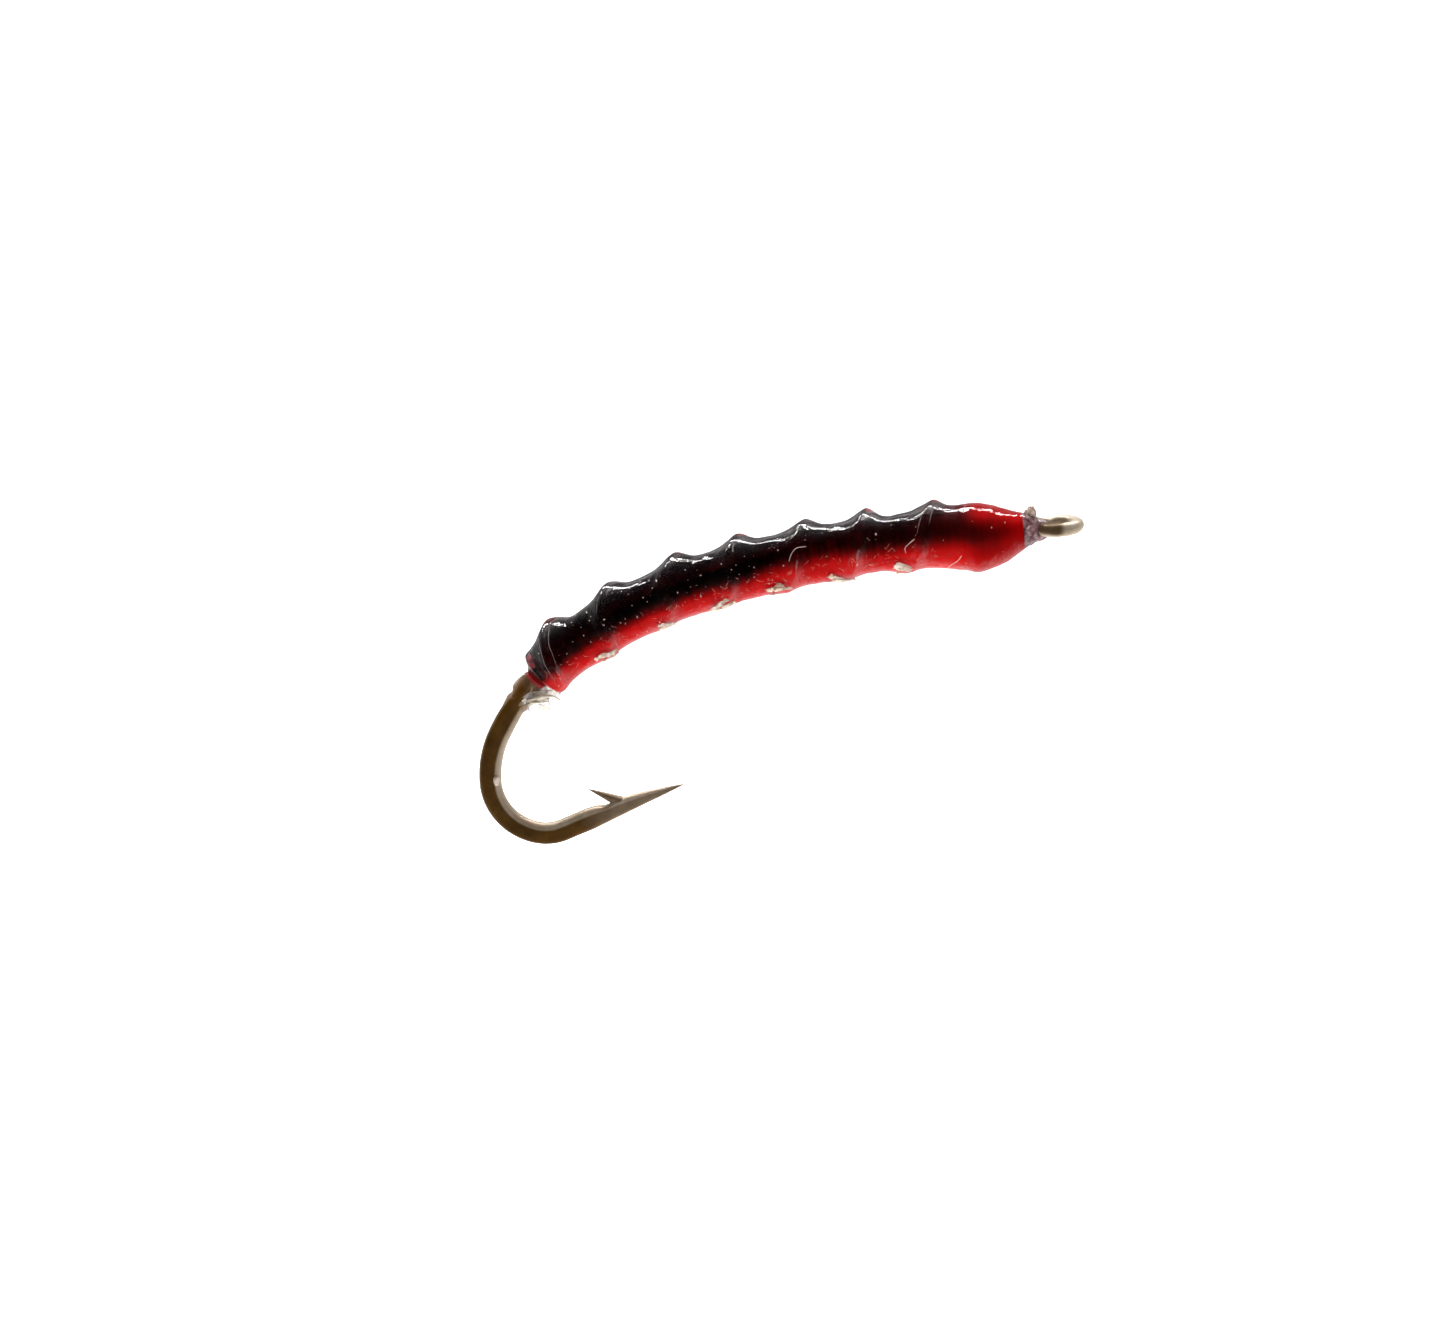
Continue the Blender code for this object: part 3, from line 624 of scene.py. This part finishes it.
def build_coat():
    """The clear resin over body and thorax as one closed wet skin."""
    stations = np.concatenate([
        np.arange(COAT_START, 0.74, 0.012), np.arange(0.74, 15.40, 0.03), np.arange(15.40, COAT_END + 0.001, 0.01),
    ])
    s, angle = body_grid(stations, 132)
    radius = coat_radius(s, angle)
    place = around(s, angle, radius)
    radius = radius + 0.016 * wobble(place, 1.7, 2, 8.0) + 0.010 * wobble(place, 5.0, 2, 1.0)
    skin = lofted(around(s, angle, radius))
    made = piece("resin_skin", *skin, "clear_resin", COAT, ("body_resin", "thorax_resin"))
    point_attribute(made, "along", s, (COAT_START, COAT_END))
    point_attribute(made, "turn", from_back(angle), (0.0, 0.0))
    made.visible_shadow = False


# ---------------------------------------------------------------- hook


def forged_share(s):
    """0 where the wire is round and 1 where it is forged flat."""
    return smooth((s - FORGED_START) / 1.5)


def wire_half_height(s):
    """Half the wire in the plane of the bend, tapering to the eye and to the point."""
    full = EYE_WIRE_RADIUS + (WIRE_RADIUS - EYE_WIRE_RADIUS) * smooth((s - HEAD_START) / 1.6)
    tall = full + 0.06 * forged_share(s)
    left = np.clip((WIRE_END - s) / 2.9, 0.0, 1.0)
    return np.maximum(0.008, tall * left**0.75)


def wire_section(s, sides):
    """Rings of the wire: round under the body, forged with flats and rounded edges in the bend and spear."""
    s = np.asarray(s, float)
    half = wire_half_height(s)[:, None]
    forged = forged_share(s)[:, None]
    thick = WIRE_RADIUS - 0.03 * forged
    turn = np.arange(sides) * 2 * math.pi / sides
    cosine, sine = np.cos(turn)[None, :], np.sin(turn)[None, :]
    round_across = half * sine
    most = np.minimum(thick, half * 0.80)
    wide = np.minimum(half, 0.27) * sine
    flat_across = wide / (1 + np.abs(wide / most) ** 9) ** (1 / 9)
    across = round_across * (1 - forged) + flat_across * forged
    place, _, out = wire_frames(s)
    up = half * cosine
    ahead_of_barb = np.exp(-(((s - (WIRE_END - 1.7)) / 0.9) ** 2))[:, None] * 0.03
    up = np.where(cosine < 0, up - ahead_of_barb * -cosine, up)
    notch = np.exp(-(((s - (WIRE_END - 2.30)) / 0.22) ** 2))[:, None] * 0.09
    up = up + notch * np.clip(-cosine, 0.0, 1.0) ** 2
    return place[:, None, :] + up[..., None] * out[:, None, :] - across[..., None] * FAR


def eye_spine():
    """From the butted end round the ring and down to the shank."""
    centre, ahead, _ = frame_at(0.0)
    entry, butt_gap = math.radians(35.0), 0.02
    butt = 2 * math.pi - 2 * math.asin((2 * EYE_WIRE_RADIUS + butt_gap) / (2 * EYE_RING_RADIUS)) + 0.1
    turn = np.linspace(butt, entry, 60)[:, None]
    path = centre - EYE_RING_RADIUS * (np.cos(turn) * ahead + np.sin(turn) * FAR)
    shank, _, _ = frame_at(HEAD_START)
    leaving = math.cos(entry) * FAR - math.sin(entry) * ahead
    first = path[-1] + leaving * EYE_RING_RADIUS / 4
    second = shank + ahead * (HEAD_START - EYE_RING_RADIUS) * 0.6
    t = np.linspace(0, 1, 14)[1:, None]
    lead = (1 - t) ** 3 * path[-1] + 3 * t * (1 - t) ** 2 * first + 3 * t * t * (1 - t) * second + t**3 * shank
    return np.concatenate([path, lead])


def build_hook():
    """The eye's ring, the shank, the bend and the spear as one skin, and the barb."""
    sides = 32
    spine = eye_spine()
    _, _, out = frame_at(0.0)
    tangents = np.gradient(spine, axis=0)
    side = np.cross(out, tangents / np.linalg.norm(tangents, axis=1)[:, None])
    side /= np.linalg.norm(side, axis=1)[:, None]
    turn = np.arange(sides) * 2 * math.pi / sides
    worn = EYE_WIRE_RADIUS * (1 + 0.02 * np.sin(np.arange(len(spine)) * 0.9))
    worn[:3] *= (0.86, 0.96, 1.0)
    ring = np.cos(turn)[None, :, None] * out + np.sin(turn)[None, :, None] * side[:, None, :]
    eye = spine[:, None, :] + worn[:, None, None] * ring
    stations = np.concatenate([
        np.arange(HEAD_START + 0.05, 15.0, 0.12), np.arange(15.0, WIRE_END - 0.02, 0.045), [WIRE_END],
    ])
    barb = lofted(barb_rings())
    wire = lofted(np.concatenate([eye, wire_section(stations, sides)]))
    made = piece("hook_wire", *merge([wire, barb]), "bronze_steel", STEEL, ("hook",))

    def hook_attribute(name, on_eye, on_wire, ends, on_barb):
        """Values on the ring, on the wire, at the two end middles and all over the barb."""
        point_attribute(made, name, np.concatenate([on_eye, on_wire, ends, np.full(len(barb[0]), on_barb)]))

    degrees = np.arange(sides) * 360.0 / sides
    paler_at = (0.7, 1.4, 15.4, 16.0, WIRE_END - 3.2, WIRE_END - 2.2, WIRE_END)
    pale = np.repeat(np.interp(stations, paler_at, (0.7, 0.3, 0.2, 0.0, 0.0, 0.22, 0.30)), sides)
    # Painted reflection along the forged edges is added to the paler stretches.
    pale = np.clip(pale + painted_edge_reflection(stations, sides).ravel(), 0, 1)
    bare = np.repeat(1 - smooth((stations - 0.7) / 0.5), sides)
    eye_along = np.repeat(np.linspace(-4.0, 0.7, len(spine)), sides)
    hook_attribute("along", eye_along, np.repeat(stations, sides), (-4.0, WIRE_END), WIRE_END - 2.0)
    hook_attribute("turn", np.tile(degrees, len(spine)), np.tile(degrees, len(stations)), (0.0, 0.0), 0.0)
    # The ring's pale and dark parts are painted reflection and painted shade.
    hook_attribute("edge", np.clip(eye_painted_light(eye, spine), 0, 1), pale, (0.9, 0.0), 0.22)
    hook_attribute("bare", np.ones(len(spine) * sides), bare, (1.0, 0.0), 0.0)


def eye_painted_light(eye, spine):
    """Painted reflection and shade on the ring: pale where it faces the bright surroundings, with the dark bronze kept
    as painted shade on its near side above and inside the hole.
    """
    way = eye - spine[:, None, :]
    way = way / np.linalg.norm(way, axis=2)[..., None]
    centre, _, _ = frame_at(0.0)
    near = smooth((way @ np.array((0.0, -0.62, 0.78)) + 0.15) / 0.5) * smooth((0.2 - eye[..., 1]) / 0.3)
    near = near * smooth((centre[0] + 0.16 - eye[..., 0]) / 0.22)
    inside = smooth((way @ np.array((0.0, -0.8, -0.6)) + 0.1) / 0.4) * smooth((eye[..., 1] + 0.05) / 0.2)
    return (1.0 - np.maximum(0.88 * near, 0.45 * inside)).ravel()


def painted_edge_reflection(stations, sides):
    """Painted reflection: paler metal along the rounded inner and outer edges of the forged stretch."""
    turn = np.arange(sides) * 2 * math.pi / sides
    inner = smooth((-np.cos(turn) - 0.46) / 0.12)
    outer = smooth((np.cos(turn) - 0.86) / 0.10)
    forged = smooth((stations - FORGED_START) / 1.0)[:, None]
    return forged * (0.60 * inner + 0.26 * outer)[None, :]


def barb_rings():
    """The barb, a wedge cut up from the inner side of the spear and leaning back over the bend."""
    root, tip = np.array((2.24, 0.0, 0.925)), np.array((1.225, 0.0, 1.345))
    thick_way = np.cross(FAR, unit(tip - root))
    turn = np.arange(16) * 2 * math.pi / 16
    rings = []
    for share in np.linspace(0.0, 1.0, 18):
        left = 1 - share
        centre = root + (tip - root) * share
        high, wide = 0.005 + 0.178 * left**0.9, 0.008 + 0.17 * left**0.7
        rings.append(centre + high * np.cos(turn)[:, None] * thick_way + wide * np.sin(turn)[:, None] * FAR)
    return np.array(rings)


# ---------------------------------------------------------------- small pieces


def build_run_out():
    """The clear resin sleeve that thins out along the wire behind the body."""
    start, length, sides = 15.66, 1.49, 40
    stations = np.linspace(start, start + length, 40)
    s, angle = body_grid(stations, sides)
    share = (s - start) / length
    outside = np.clip(np.cos(np.radians(angle)), 0, 1)
    inside = np.clip(-np.cos(np.radians(angle)), 0, 1)
    build = 0.012 + 0.05 * (1 - share) + outside * 0.10 * np.sin(math.pi * np.clip(share * 1.1 + 0.1, 0, 1))
    build = build + inside * 0.20 * (1 - share) ** 2
    build = build + 0.012 * wobble(around(s, angle, 0.4), 3.0, 2, 6.0)
    fade = 1 - smooth((share + 0.25 * wobble(around(s, angle, 0.3), 2.0, 2, 3.0) - 0.35) / 0.5)
    wire = wire_section(stations, sides)
    middle = wire_frames(stations)[0][:, None, :]
    radius = np.linalg.norm(wire - middle, axis=2)
    grown = (radius + build * fade - 0.03 * (1 - fade)) / radius
    sleeve = lofted(middle + (wire - middle) * grown[..., None])
    made = piece("resin_sleeve", *sleeve, "clear_resin", COAT, ("resin_run_out",))
    made.visible_shadow = False


def crumpled(centre, reach, across, normal, place, thick, rows, columns, rough):
    """A small crumpled flap of film: reach and across are its half-size vectors, place its own noise."""
    reach, across, normal = (np.asarray(v, float) for v in (reach, across, normal))
    size = np.linalg.norm(reach)
    t, u = np.meshgrid(np.linspace(-1, 1, rows), np.linspace(-1, 1, columns), indexing="ij")
    offset = np.stack([t * 1.7 + place, u * 1.3, 0 * t], -1)
    fold = wobble(offset, 1.1, 2) + 0.5 * wobble(offset, 2.7, 1, 4.0)
    edge = 1 + 0.22 * wobble(np.stack([t * 2 + place, u * 2, 0 * t], -1), 1.3, 2, 2.0)
    middle = centre + (t * edge)[..., None] * reach + (u * edge)[..., None] * across
    middle = middle + (fold * size * rough)[..., None] * normal
    lean = normal * thick
    return lofted(np.concatenate([middle + lean, (middle - lean)[:, ::-1]], 1))


def build_tag():
    """The trimmed film end: clear crumpled flaps off the wire's inner side, with a rolled tan edge."""
    parts = []
    flaps = (
        ((-0.12, -0.20, 3.92), (0.30, 0.02, 0.07), (0.05, 0.06, -0.20), 21.0),
        ((0.06, -0.22, 3.74), (0.15, -0.03, -0.04), (0.02, 0.05, -0.15), 33.0),
        ((0.10, -0.12, 4.24), (0.36, 0.02, 0.10), (-0.04, 0.12, 0.16), 45.0),
        ((-0.32, -0.20, 4.16), (0.16, 0.05, 0.20), (0.10, 0.10, -0.10), 57.0),
    )
    for centre, reach, across, place in flaps:
        normal = unit(np.cross(reach, across))
        parts.append(crumpled(np.array(centre), reach, across, normal, place, 0.009, 16, 12, 0.16))
    rolls = (
        (0.046, (
            (-0.72, -0.20, 3.86), (-0.50, -0.26, 4.02), (-0.22, -0.30, 4.15),
            (0.08, -0.30, 4.19), (0.38, -0.26, 4.15), (0.52, -0.20, 4.06),
        )),
        (0.020, ((-0.46, -0.26, 3.92), (-0.24, -0.30, 3.99), (0.04, -0.28, 4.04), (0.34, -0.24, 4.06))),
        (0.016, ((-0.58, -0.24, 4.10), (-0.34, -0.30, 4.30), (0.02, -0.32, 4.38), (0.40, -0.28, 4.36))),
    )
    edges = []
    for thick, keys in rolls:
        keys = np.array(keys)
        t = np.linspace(0, len(keys) - 1, 12 * len(keys))
        line = np.stack([rounded(t, np.arange(len(keys)), keys[:, i], 0.5) for i in range(3)], -1)
        line = line + 0.02 * np.sin(t * 2.3)[:, None] * np.array((0.0, 0.5, 1.0))
        thin = np.minimum(1, 0.3 + 2 * (t.max() - t) / t.max())
        edges.append(lofted(swept(line, thick * (1 + 0.25 * np.sin(3 * t)) * thin, 9)))
    piece("film_rolls", *merge(edges), "clear_film", ROLL)
    made = piece("film_flap", *merge(parts), "clear_film", TAG, ("film_tag",))
    made.visible_shadow = False


def build_belly_folds():
    """Creased scraps of film where the strand crosses the belly."""
    rng = random.Random(SEED + 5)
    parts = []
    for turn in range(CRESTS):
        middle = float(crest_place(360.0 * turn + 180.0))
        if middle > BODY_END - 0.3:
            continue
        for number in range(rng.choice((3, 4))):
            s = middle + rng.uniform(-0.24, 0.24)
            angle = rng.uniform(128.0, 172.0)
            place, ahead, _ = frame_at(s)
            centre = around(s, angle, coat_radius(s, angle) - 0.03)
            normal = unit(centre - place)
            side = np.cross(normal, ahead)
            tilt = rng.uniform(-0.8, 0.8)
            reach = (ahead * math.cos(tilt) + side * math.sin(tilt)) * rng.uniform(0.16, 0.26)
            across = (side * math.cos(tilt) - ahead * math.sin(tilt)) * rng.uniform(0.06, 0.11)
            parts.append(crumpled(centre, reach, across, normal, turn * 7.0 + number * 3.1, 0.008, 14, 10, 0.30))
    made = piece("belly_folds", *merge(parts), "clear_film", CREAM)
    made.visible_shadow = False


def build_air_lines():
    """Thin lines of trapped air along both flanks of the strand, clearest at the last and first turns, drawn as pale
    fibre: a painted highlight for the air's shine.
    """
    parts = []
    runs = (
        (6, 8.0, 116.0, 0.0075), (0, 14.0, 62.0, 0.0075), (1, 20.0, 40.0, 0.005), (3, 16.0, 34.0, 0.005),
        (5, 18.0, 44.0, 0.005),
    )
    for turn, low, high, radius in runs:
        for flank in (-1, 1):
            first = low + 6 * flank
            angle = np.arange(first, high + 9 * flank, 4.0) + 360.0 * turn
            place = crest_place(angle) + flank * (0.135 + 0.012 * np.sin(angle * 0.13))
            thin = radius * np.sin(np.linspace(0.25, math.pi - 0.25, len(angle)))
            thin = thin * (0.75 + 0.35 * np.sin(angle * 0.9 + turn))
            spine = around(place, angle, coat_radius(place, angle) - 0.026 + 0.006 * np.sin(angle * 0.31))
            parts.append(lofted(swept(spine, thin, 8)))
    piece("strand_air", *merge(parts), "clear_strand", AIR_HIGHLIGHT)


def build_rear_nub():
    """The cut end of the red thread, a lump under the resin at the top of the rear end."""
    nub_place = 15.20
    turn = np.arange(28)[:, None] * 2 * math.pi / 28
    centre = around(nub_place, 38.0, 0.54)
    place, ahead, _ = frame_at(nub_place)
    normal = unit(centre - place)
    side = np.cross(ahead, normal)
    outline = 0.18 * np.cos(turn) * ahead + 0.25 * np.sin(turn) * side
    rises = np.linspace(-0.98, 0.98, 22)
    rings = np.array([centre + normal * 0.15 * rise + math.sqrt(1 - rise * rise) * outline for rise in rises])
    rings = centre + (rings - centre) * (1 + 0.34 * wobble(rings, 5.0, 2, 3.0))[..., None]
    piece("thread_nub", *lofted(rings), "red_thread", NUB)


def build_wisps():
    """Short broken filaments of floss set in the resin over the lower flank."""
    rng = random.Random(SEED + 8)
    parts = []
    for _ in range(135):
        s = rng.uniform(3.2, 15.1)
        angle = rng.gauss(112.0, 18.0)
        long, bend = rng.uniform(2.0, 11.0), rng.uniform(-0.06, 0.06)
        t = np.linspace(0, 1, 9)
        angles = angle + long * (t - 0.5)
        places = s + rng.uniform(-0.16, 0.16) * (t - 0.5) + bend * np.sin(math.pi * t)
        lift = rng.uniform(0.010, 0.035)
        spine = around(places, angles, coat_radius(places, angles) - lift)
        radii = rng.uniform(0.0025, 0.0055) * np.sin(np.linspace(0.3, math.pi - 0.3, 9))
        parts.append(lofted(swept(spine, radii, 6)))
    piece("floss_wisps", *merge(parts), "pale_fibre", WISP)


def build_butts():
    """The trimmed, singed bundle of ends on top of the eye's root."""
    parts = []
    rng = random.Random(SEED + 1)
    shape = np.array((0.018, 0.021, 0.022, 0.024, 0.025, 0.023, 0.014))
    for _ in range(80):
        s = rng.uniform(0.62, 0.88)
        across = rng.uniform(-0.13, 0.13)
        top = 0.58 + 0.06 * rng.random() - 0.08 * abs(s - 0.74) / 0.14
        lean = rng.uniform(-0.05, 0.05)
        t = np.linspace(0, 1, 7)[:, None]
        low = around(s + 0.05, 0.0, 0.225)
        high = around(s + lean, 0.0, top)
        spine = low + (high - low) * t + np.array((0.0, across, 0.0)) + 0.012 * np.sin(t * 5.0 + s * 30)
        parts.append(lofted(swept(spine, shape * (0.7 + 0.6 * rng.random()), 7)))
    piece("butt_bundle", *merge(parts), "tan_butts", BUTTS, ("butt_ends",))


def build_eye_resin():
    """Cloudy resin round the rear of the eye's ring, ending in a ragged edge over the red thread."""
    s, angle = body_grid(np.linspace(0.36, 1.02, 60), 128)
    places = (0.0, 35.0, 58.0, 84.0, 108.0, 128.0, 150.0, 180.0, 215.0, 250.0, 290.0, 330.0, 360.0)
    reach = (0.90, 0.92, 0.74, 0.96, 0.78, 0.92, 0.74, 0.86, 0.74, 0.88, 0.74, 0.92, 0.90)
    ragged = np.interp(angle, places, reach) + 0.012 * np.sin(np.radians(angle * 23.0)) - 0.03
    ring = np.interp(s, (0.36, 0.50, 0.62, 0.98), (0.24, 0.29, 0.31, 0.31)) + 0.06 * belly_share(angle)
    coat = coat_radius(s, angle)
    outer = np.where(s > COAT_START, np.maximum(ring, coat + 0.036), ring)
    under = smooth((s - ragged) / 0.09)
    radius = outer + (coat - 0.05 - outer) * under
    radius = radius + 0.022 * wobble(around(s, angle, radius), 4.0, 3, 7.0) * (1 - under)
    made = piece("eye_collar", *lofted(around(s, angle, radius)), "clear_resin", COLLAR, ("eye_resin",))
    made.visible_shadow = False


def build_bead():
    """A set drop of resin on the near flat of the bend."""
    place, along, out = frame_at(SHANK_LENGTH - 2.5)
    foot = place - out * 0.19 - FAR * 0.205
    turn = np.arange(28)[:, None] * 2 * math.pi / 28
    outline = np.cos(turn) * out * 0.09 + np.sin(turn) * along * 0.16
    rises = np.linspace(0.0, 0.995, 12)
    rings = np.array([foot - FAR * 0.085 * rise + math.sqrt(1 - rise * rise) * outline for rise in rises])
    made = piece("bead_drop", *lofted(rings), "clear_resin", BEAD, ("resin_bead",))
    made.visible_shadow = False


def build_fibres():
    """The loose filaments that lie in and over the resin on the near side."""
    # Each has its points as a place along the hook, an angle and a height over the coat.
    fibres = (
        ("thorax", 0.008, ((2.78, 112, 0.0), (2.90, 124, 0.02), (3.10, 136, 0.01), (3.25, 156, 0.03))),
        ("rib", 0.007, ((4.02, 74, 0.0), (4.18, 80, 0.02), (4.34, 88, 0.01), (4.30, 98, 0.0))),
        ("back", 0.007, ((6.95, 58, 0.0), (7.25, 60, 0.02), (7.42, 68, 0.01), (7.52, 79, 0.0))),
    )
    for name, radius, keys in fibres:
        t = np.linspace(0, len(keys) - 1, 10 * len(keys))
        lines = [np.interp(t, np.arange(len(keys)), column) for column in np.array(keys, float).T]
        s, angle, lift = (np.convolve(np.pad(v, 5, mode="edge"), np.ones(11) / 11, mode="valid") for v in lines)
        spine = around(s, angle, coat_radius(s, angle) + lift)
        filament = lofted(swept(spine, radius, 8))
        piece("fibre_" + name, *filament, "pale_fibre", PALE, ("stray_fibre_" + name,))


def build_bubbles():
    """Tiny specks and bubbles caught in the resin, drawn opaque and pale: dust, with the bubbles' glints as painted
    highlights.
    """
    rng = random.Random(SEED + 2)
    parts = []
    for _ in range(420):
        s = rng.uniform(1.2, 15.2) if rng.random() < 0.4 else rng.uniform(7.0, 15.2)
        angle = rng.uniform(0.0, 360.0)
        size = 0.006 + 0.013 * rng.random() ** 3
        shell, core = float(coat_radius(s, angle)), float(core_radius(s, angle))
        if shell - core < 3 * size:
            continue
        radius = rng.uniform(core + 1.2 * size, shell - 1.2 * size)
        place, ahead, _ = frame_at(s)
        centre = around(s, angle, radius)
        normal = unit(centre - place)
        along = ahead * rng.uniform(0.8, 1.2)
        side = np.cross(normal, ahead) * (rng.uniform(0.8, 1.2) if rng.random() < 0.8 else rng.uniform(1.6, 3.0))
        turn = np.arange(8)[:, None] * math.pi / 4
        outline = np.cos(turn) * along + np.sin(turn) * side
        rises = np.linspace(-1.3, 1.3, 5)
        rings = [centre + size * (outline * math.cos(v) + normal * 0.5 * math.sin(v)) for v in rises]
        parts.append(lofted(np.array(rings)))
    piece("resin_specks", *merge(parts), "clear_resin", SPECK_GLINT)


def build_fuzz():
    """Short red ends that stand out of the belly between two turns of the strand."""
    rng = random.Random(SEED + 3)
    parts = []
    for _ in range(70):
        s = rng.gauss(6.1, 0.45)
        angle = rng.uniform(150.0, 205.0)
        low = around(s, angle, core_radius(s, angle) - 0.02)
        tip_place, tip_angle = s + rng.uniform(-0.12, 0.12), angle + rng.uniform(-8, 8)
        high = around(tip_place, tip_angle, coat_radius(s, angle) + rng.uniform(-0.06, 0.05))
        t = np.linspace(0, 1, 5)[:, None]
        bend = np.array((rng.uniform(-1, 1), rng.uniform(-1, 1), 0.0)) * 0.03
        spine = low + (high - low) * t + bend * np.sin(math.pi * t)
        parts.append(lofted(swept(spine, np.linspace(0.016, 0.007, 5), 6)))
    piece("belly_ends", *merge(parts), "red_thread", FUZZ)


build_winding("body_thread", 2.62, BODY_END, ("body_winding",))
build_winding("thorax_thread", 0.62, 2.72, ("thorax_winding", "head_wraps"))
build_tail()
build_strip()
build_film()
build_strand()
build_coat()
build_hook()
build_run_out()
build_tag()
build_belly_folds()
build_air_lines()
build_rear_nub()
build_wisps()
build_butts()
build_eye_resin()
build_bead()
build_fibres()
build_bubbles()
build_fuzz()

# thread_base lies wholly under the windings, so its own mesh is kept.
hidden_thread = plain_fibre_material("hidden_thread", (0.2, 0.004, 0.004), (0.5, 0.01, 0.01))
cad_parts["thread_base"].data.materials.clear()
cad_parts["thread_base"].data.materials.append(hidden_thread)


# ---------------------------------------------------------------- stage, light, camera


def build_world():
    """A soft white room: bright behind and at the sides, dark in front, on a plain white backdrop."""
    n = Nodes("white_room", world=True)
    direction = n.add("ShaderNodeTexCoord").outputs["Generated"]
    parts = n.add("ShaderNodeSeparateXYZ", {0: direction})
    sides = n.math("MULTIPLY_ADD", n.math("ABSOLUTE", parts.outputs[0]), 0.6, -0.08)
    level = n.math("MULTIPLY_ADD", parts.outputs[1], 0.95, sides)
    level = n.math("MULTIPLY_ADD", parts.outputs[2], -0.45, level, clamp=True)
    colour = n.ramp(level, (
        (0.0, (0.002, 0.002, 0.002)), (0.2, (0.02, 0.02, 0.021)), (0.45, (0.32, 0.32, 0.32)), (0.8, (1.0, 1.0, 1.0)),
    ))
    above = n.math("MULTIPLY_ADD", parts.outputs[2], 2.2, 0.75, clamp=True)
    strength = n.math("MULTIPLY_ADD", above, -0.5, 0.9)
    room = n.add("ShaderNodeBackground", {"Color": colour, "Strength": strength}).outputs[0]
    backdrop = n.add("ShaderNodeBackground", {"Color": (1.0, 1.0, 1.0, 1.0), "Strength": 1.0}).outputs[0]
    seen = n.add("ShaderNodeLightPath").outputs["Is Camera Ray"]
    mixed = n.add("ShaderNodeMixShader", {0: seen, 1: room, 2: backdrop}).outputs[0]
    bpy.context.scene.world = n.finish(mixed)


def area_light(name, place, target, size, power, size_y=None):
    """A rectangular lamp aimed at a target: its sizes are in millimetres and its power in watts."""
    data = bpy.data.lights.new(name, "AREA")
    data.shape = "RECTANGLE"
    data.size = size * MM
    data.size_y = (size_y or size) * MM
    data.energy = power
    made = bpy.data.objects.new(name, data)
    made.location = Vector(place) * MM
    made.rotation_euler = (Vector(target) - Vector(place)).to_track_quat("-Z", "Y").to_euler()
    bpy.context.scene.collection.objects.link(made)
    return made


def build_stage():
    """A wide, plain, pale floor well below the hook."""
    n = Nodes("pale_floor")
    grain = n.noise(n.position(), 90.0, 3.0, 0.5)
    colour = n.ramp(grain, ((0.2, (0.92, 0.92, 0.92)), (0.8, (0.96, 0.96, 0.96))))
    material = n.finish(n.principled(
        Base_Color=colour, Roughness=0.9, Emission_Color=(1.0, 1.0, 1.0, 1.0), Emission_Strength=1.0,
    ))
    half = 3000.0 * MM
    mesh = bpy.data.meshes.new("floor")
    mesh.from_pydata([(-half, -half, 0), (half, -half, 0), (half, half, 0), (-half, half, 0)], [], [(0, 1, 2, 3)])
    mesh.materials.append(material)
    floor = bpy.data.objects.new("floor", mesh)
    floor.location = (0.0, 0.0, -60.0 * MM)
    bpy.context.scene.collection.objects.link(floor)
    floor.visible_glossy = False


def build_camera():
    """The photo's view: from the near side, a little above, with the fly in the middle of the frame."""
    azimuth, elevation = math.radians(1.0), math.radians(16.0)
    distance, view_width, sensor = 80.0, 40.72, 36.0
    target = Vector((5.07, 0.0, 4.94))
    level = math.cos(elevation)
    way = Vector((math.sin(azimuth) * level, -math.cos(azimuth) * level, math.sin(elevation)))
    data = bpy.data.cameras.new("camera")
    data.sensor_width = sensor
    data.lens = sensor * distance / view_width
    data.clip_start = 0.005
    data.clip_end = 20.0
    camera = bpy.data.objects.new("camera", data)
    camera.location = (target + way * distance) * MM
    camera.rotation_euler = (-way).to_track_quat("-Z", "Y").to_euler()
    bpy.context.scene.collection.objects.link(camera)
    bpy.context.scene.camera = camera


build_world()
build_stage()
area_light("rear_strip", (5.0, 106.0, 170.0), (5.0, 0.0, 6.0), 300.0, 0.50, 14.0)
area_light("front_fill", (0.0, -220.0, -130.0), (5.0, 0.0, 4.0), 300.0, 0.22).visible_glossy = False
area_light("floor_wash", (0.0, 500.0, 700.0), (0.0, 500.0, -60.0), 1200.0, 12.0).visible_glossy = False
build_camera()
bpy.context.scene.view_settings.view_transform = "Standard"
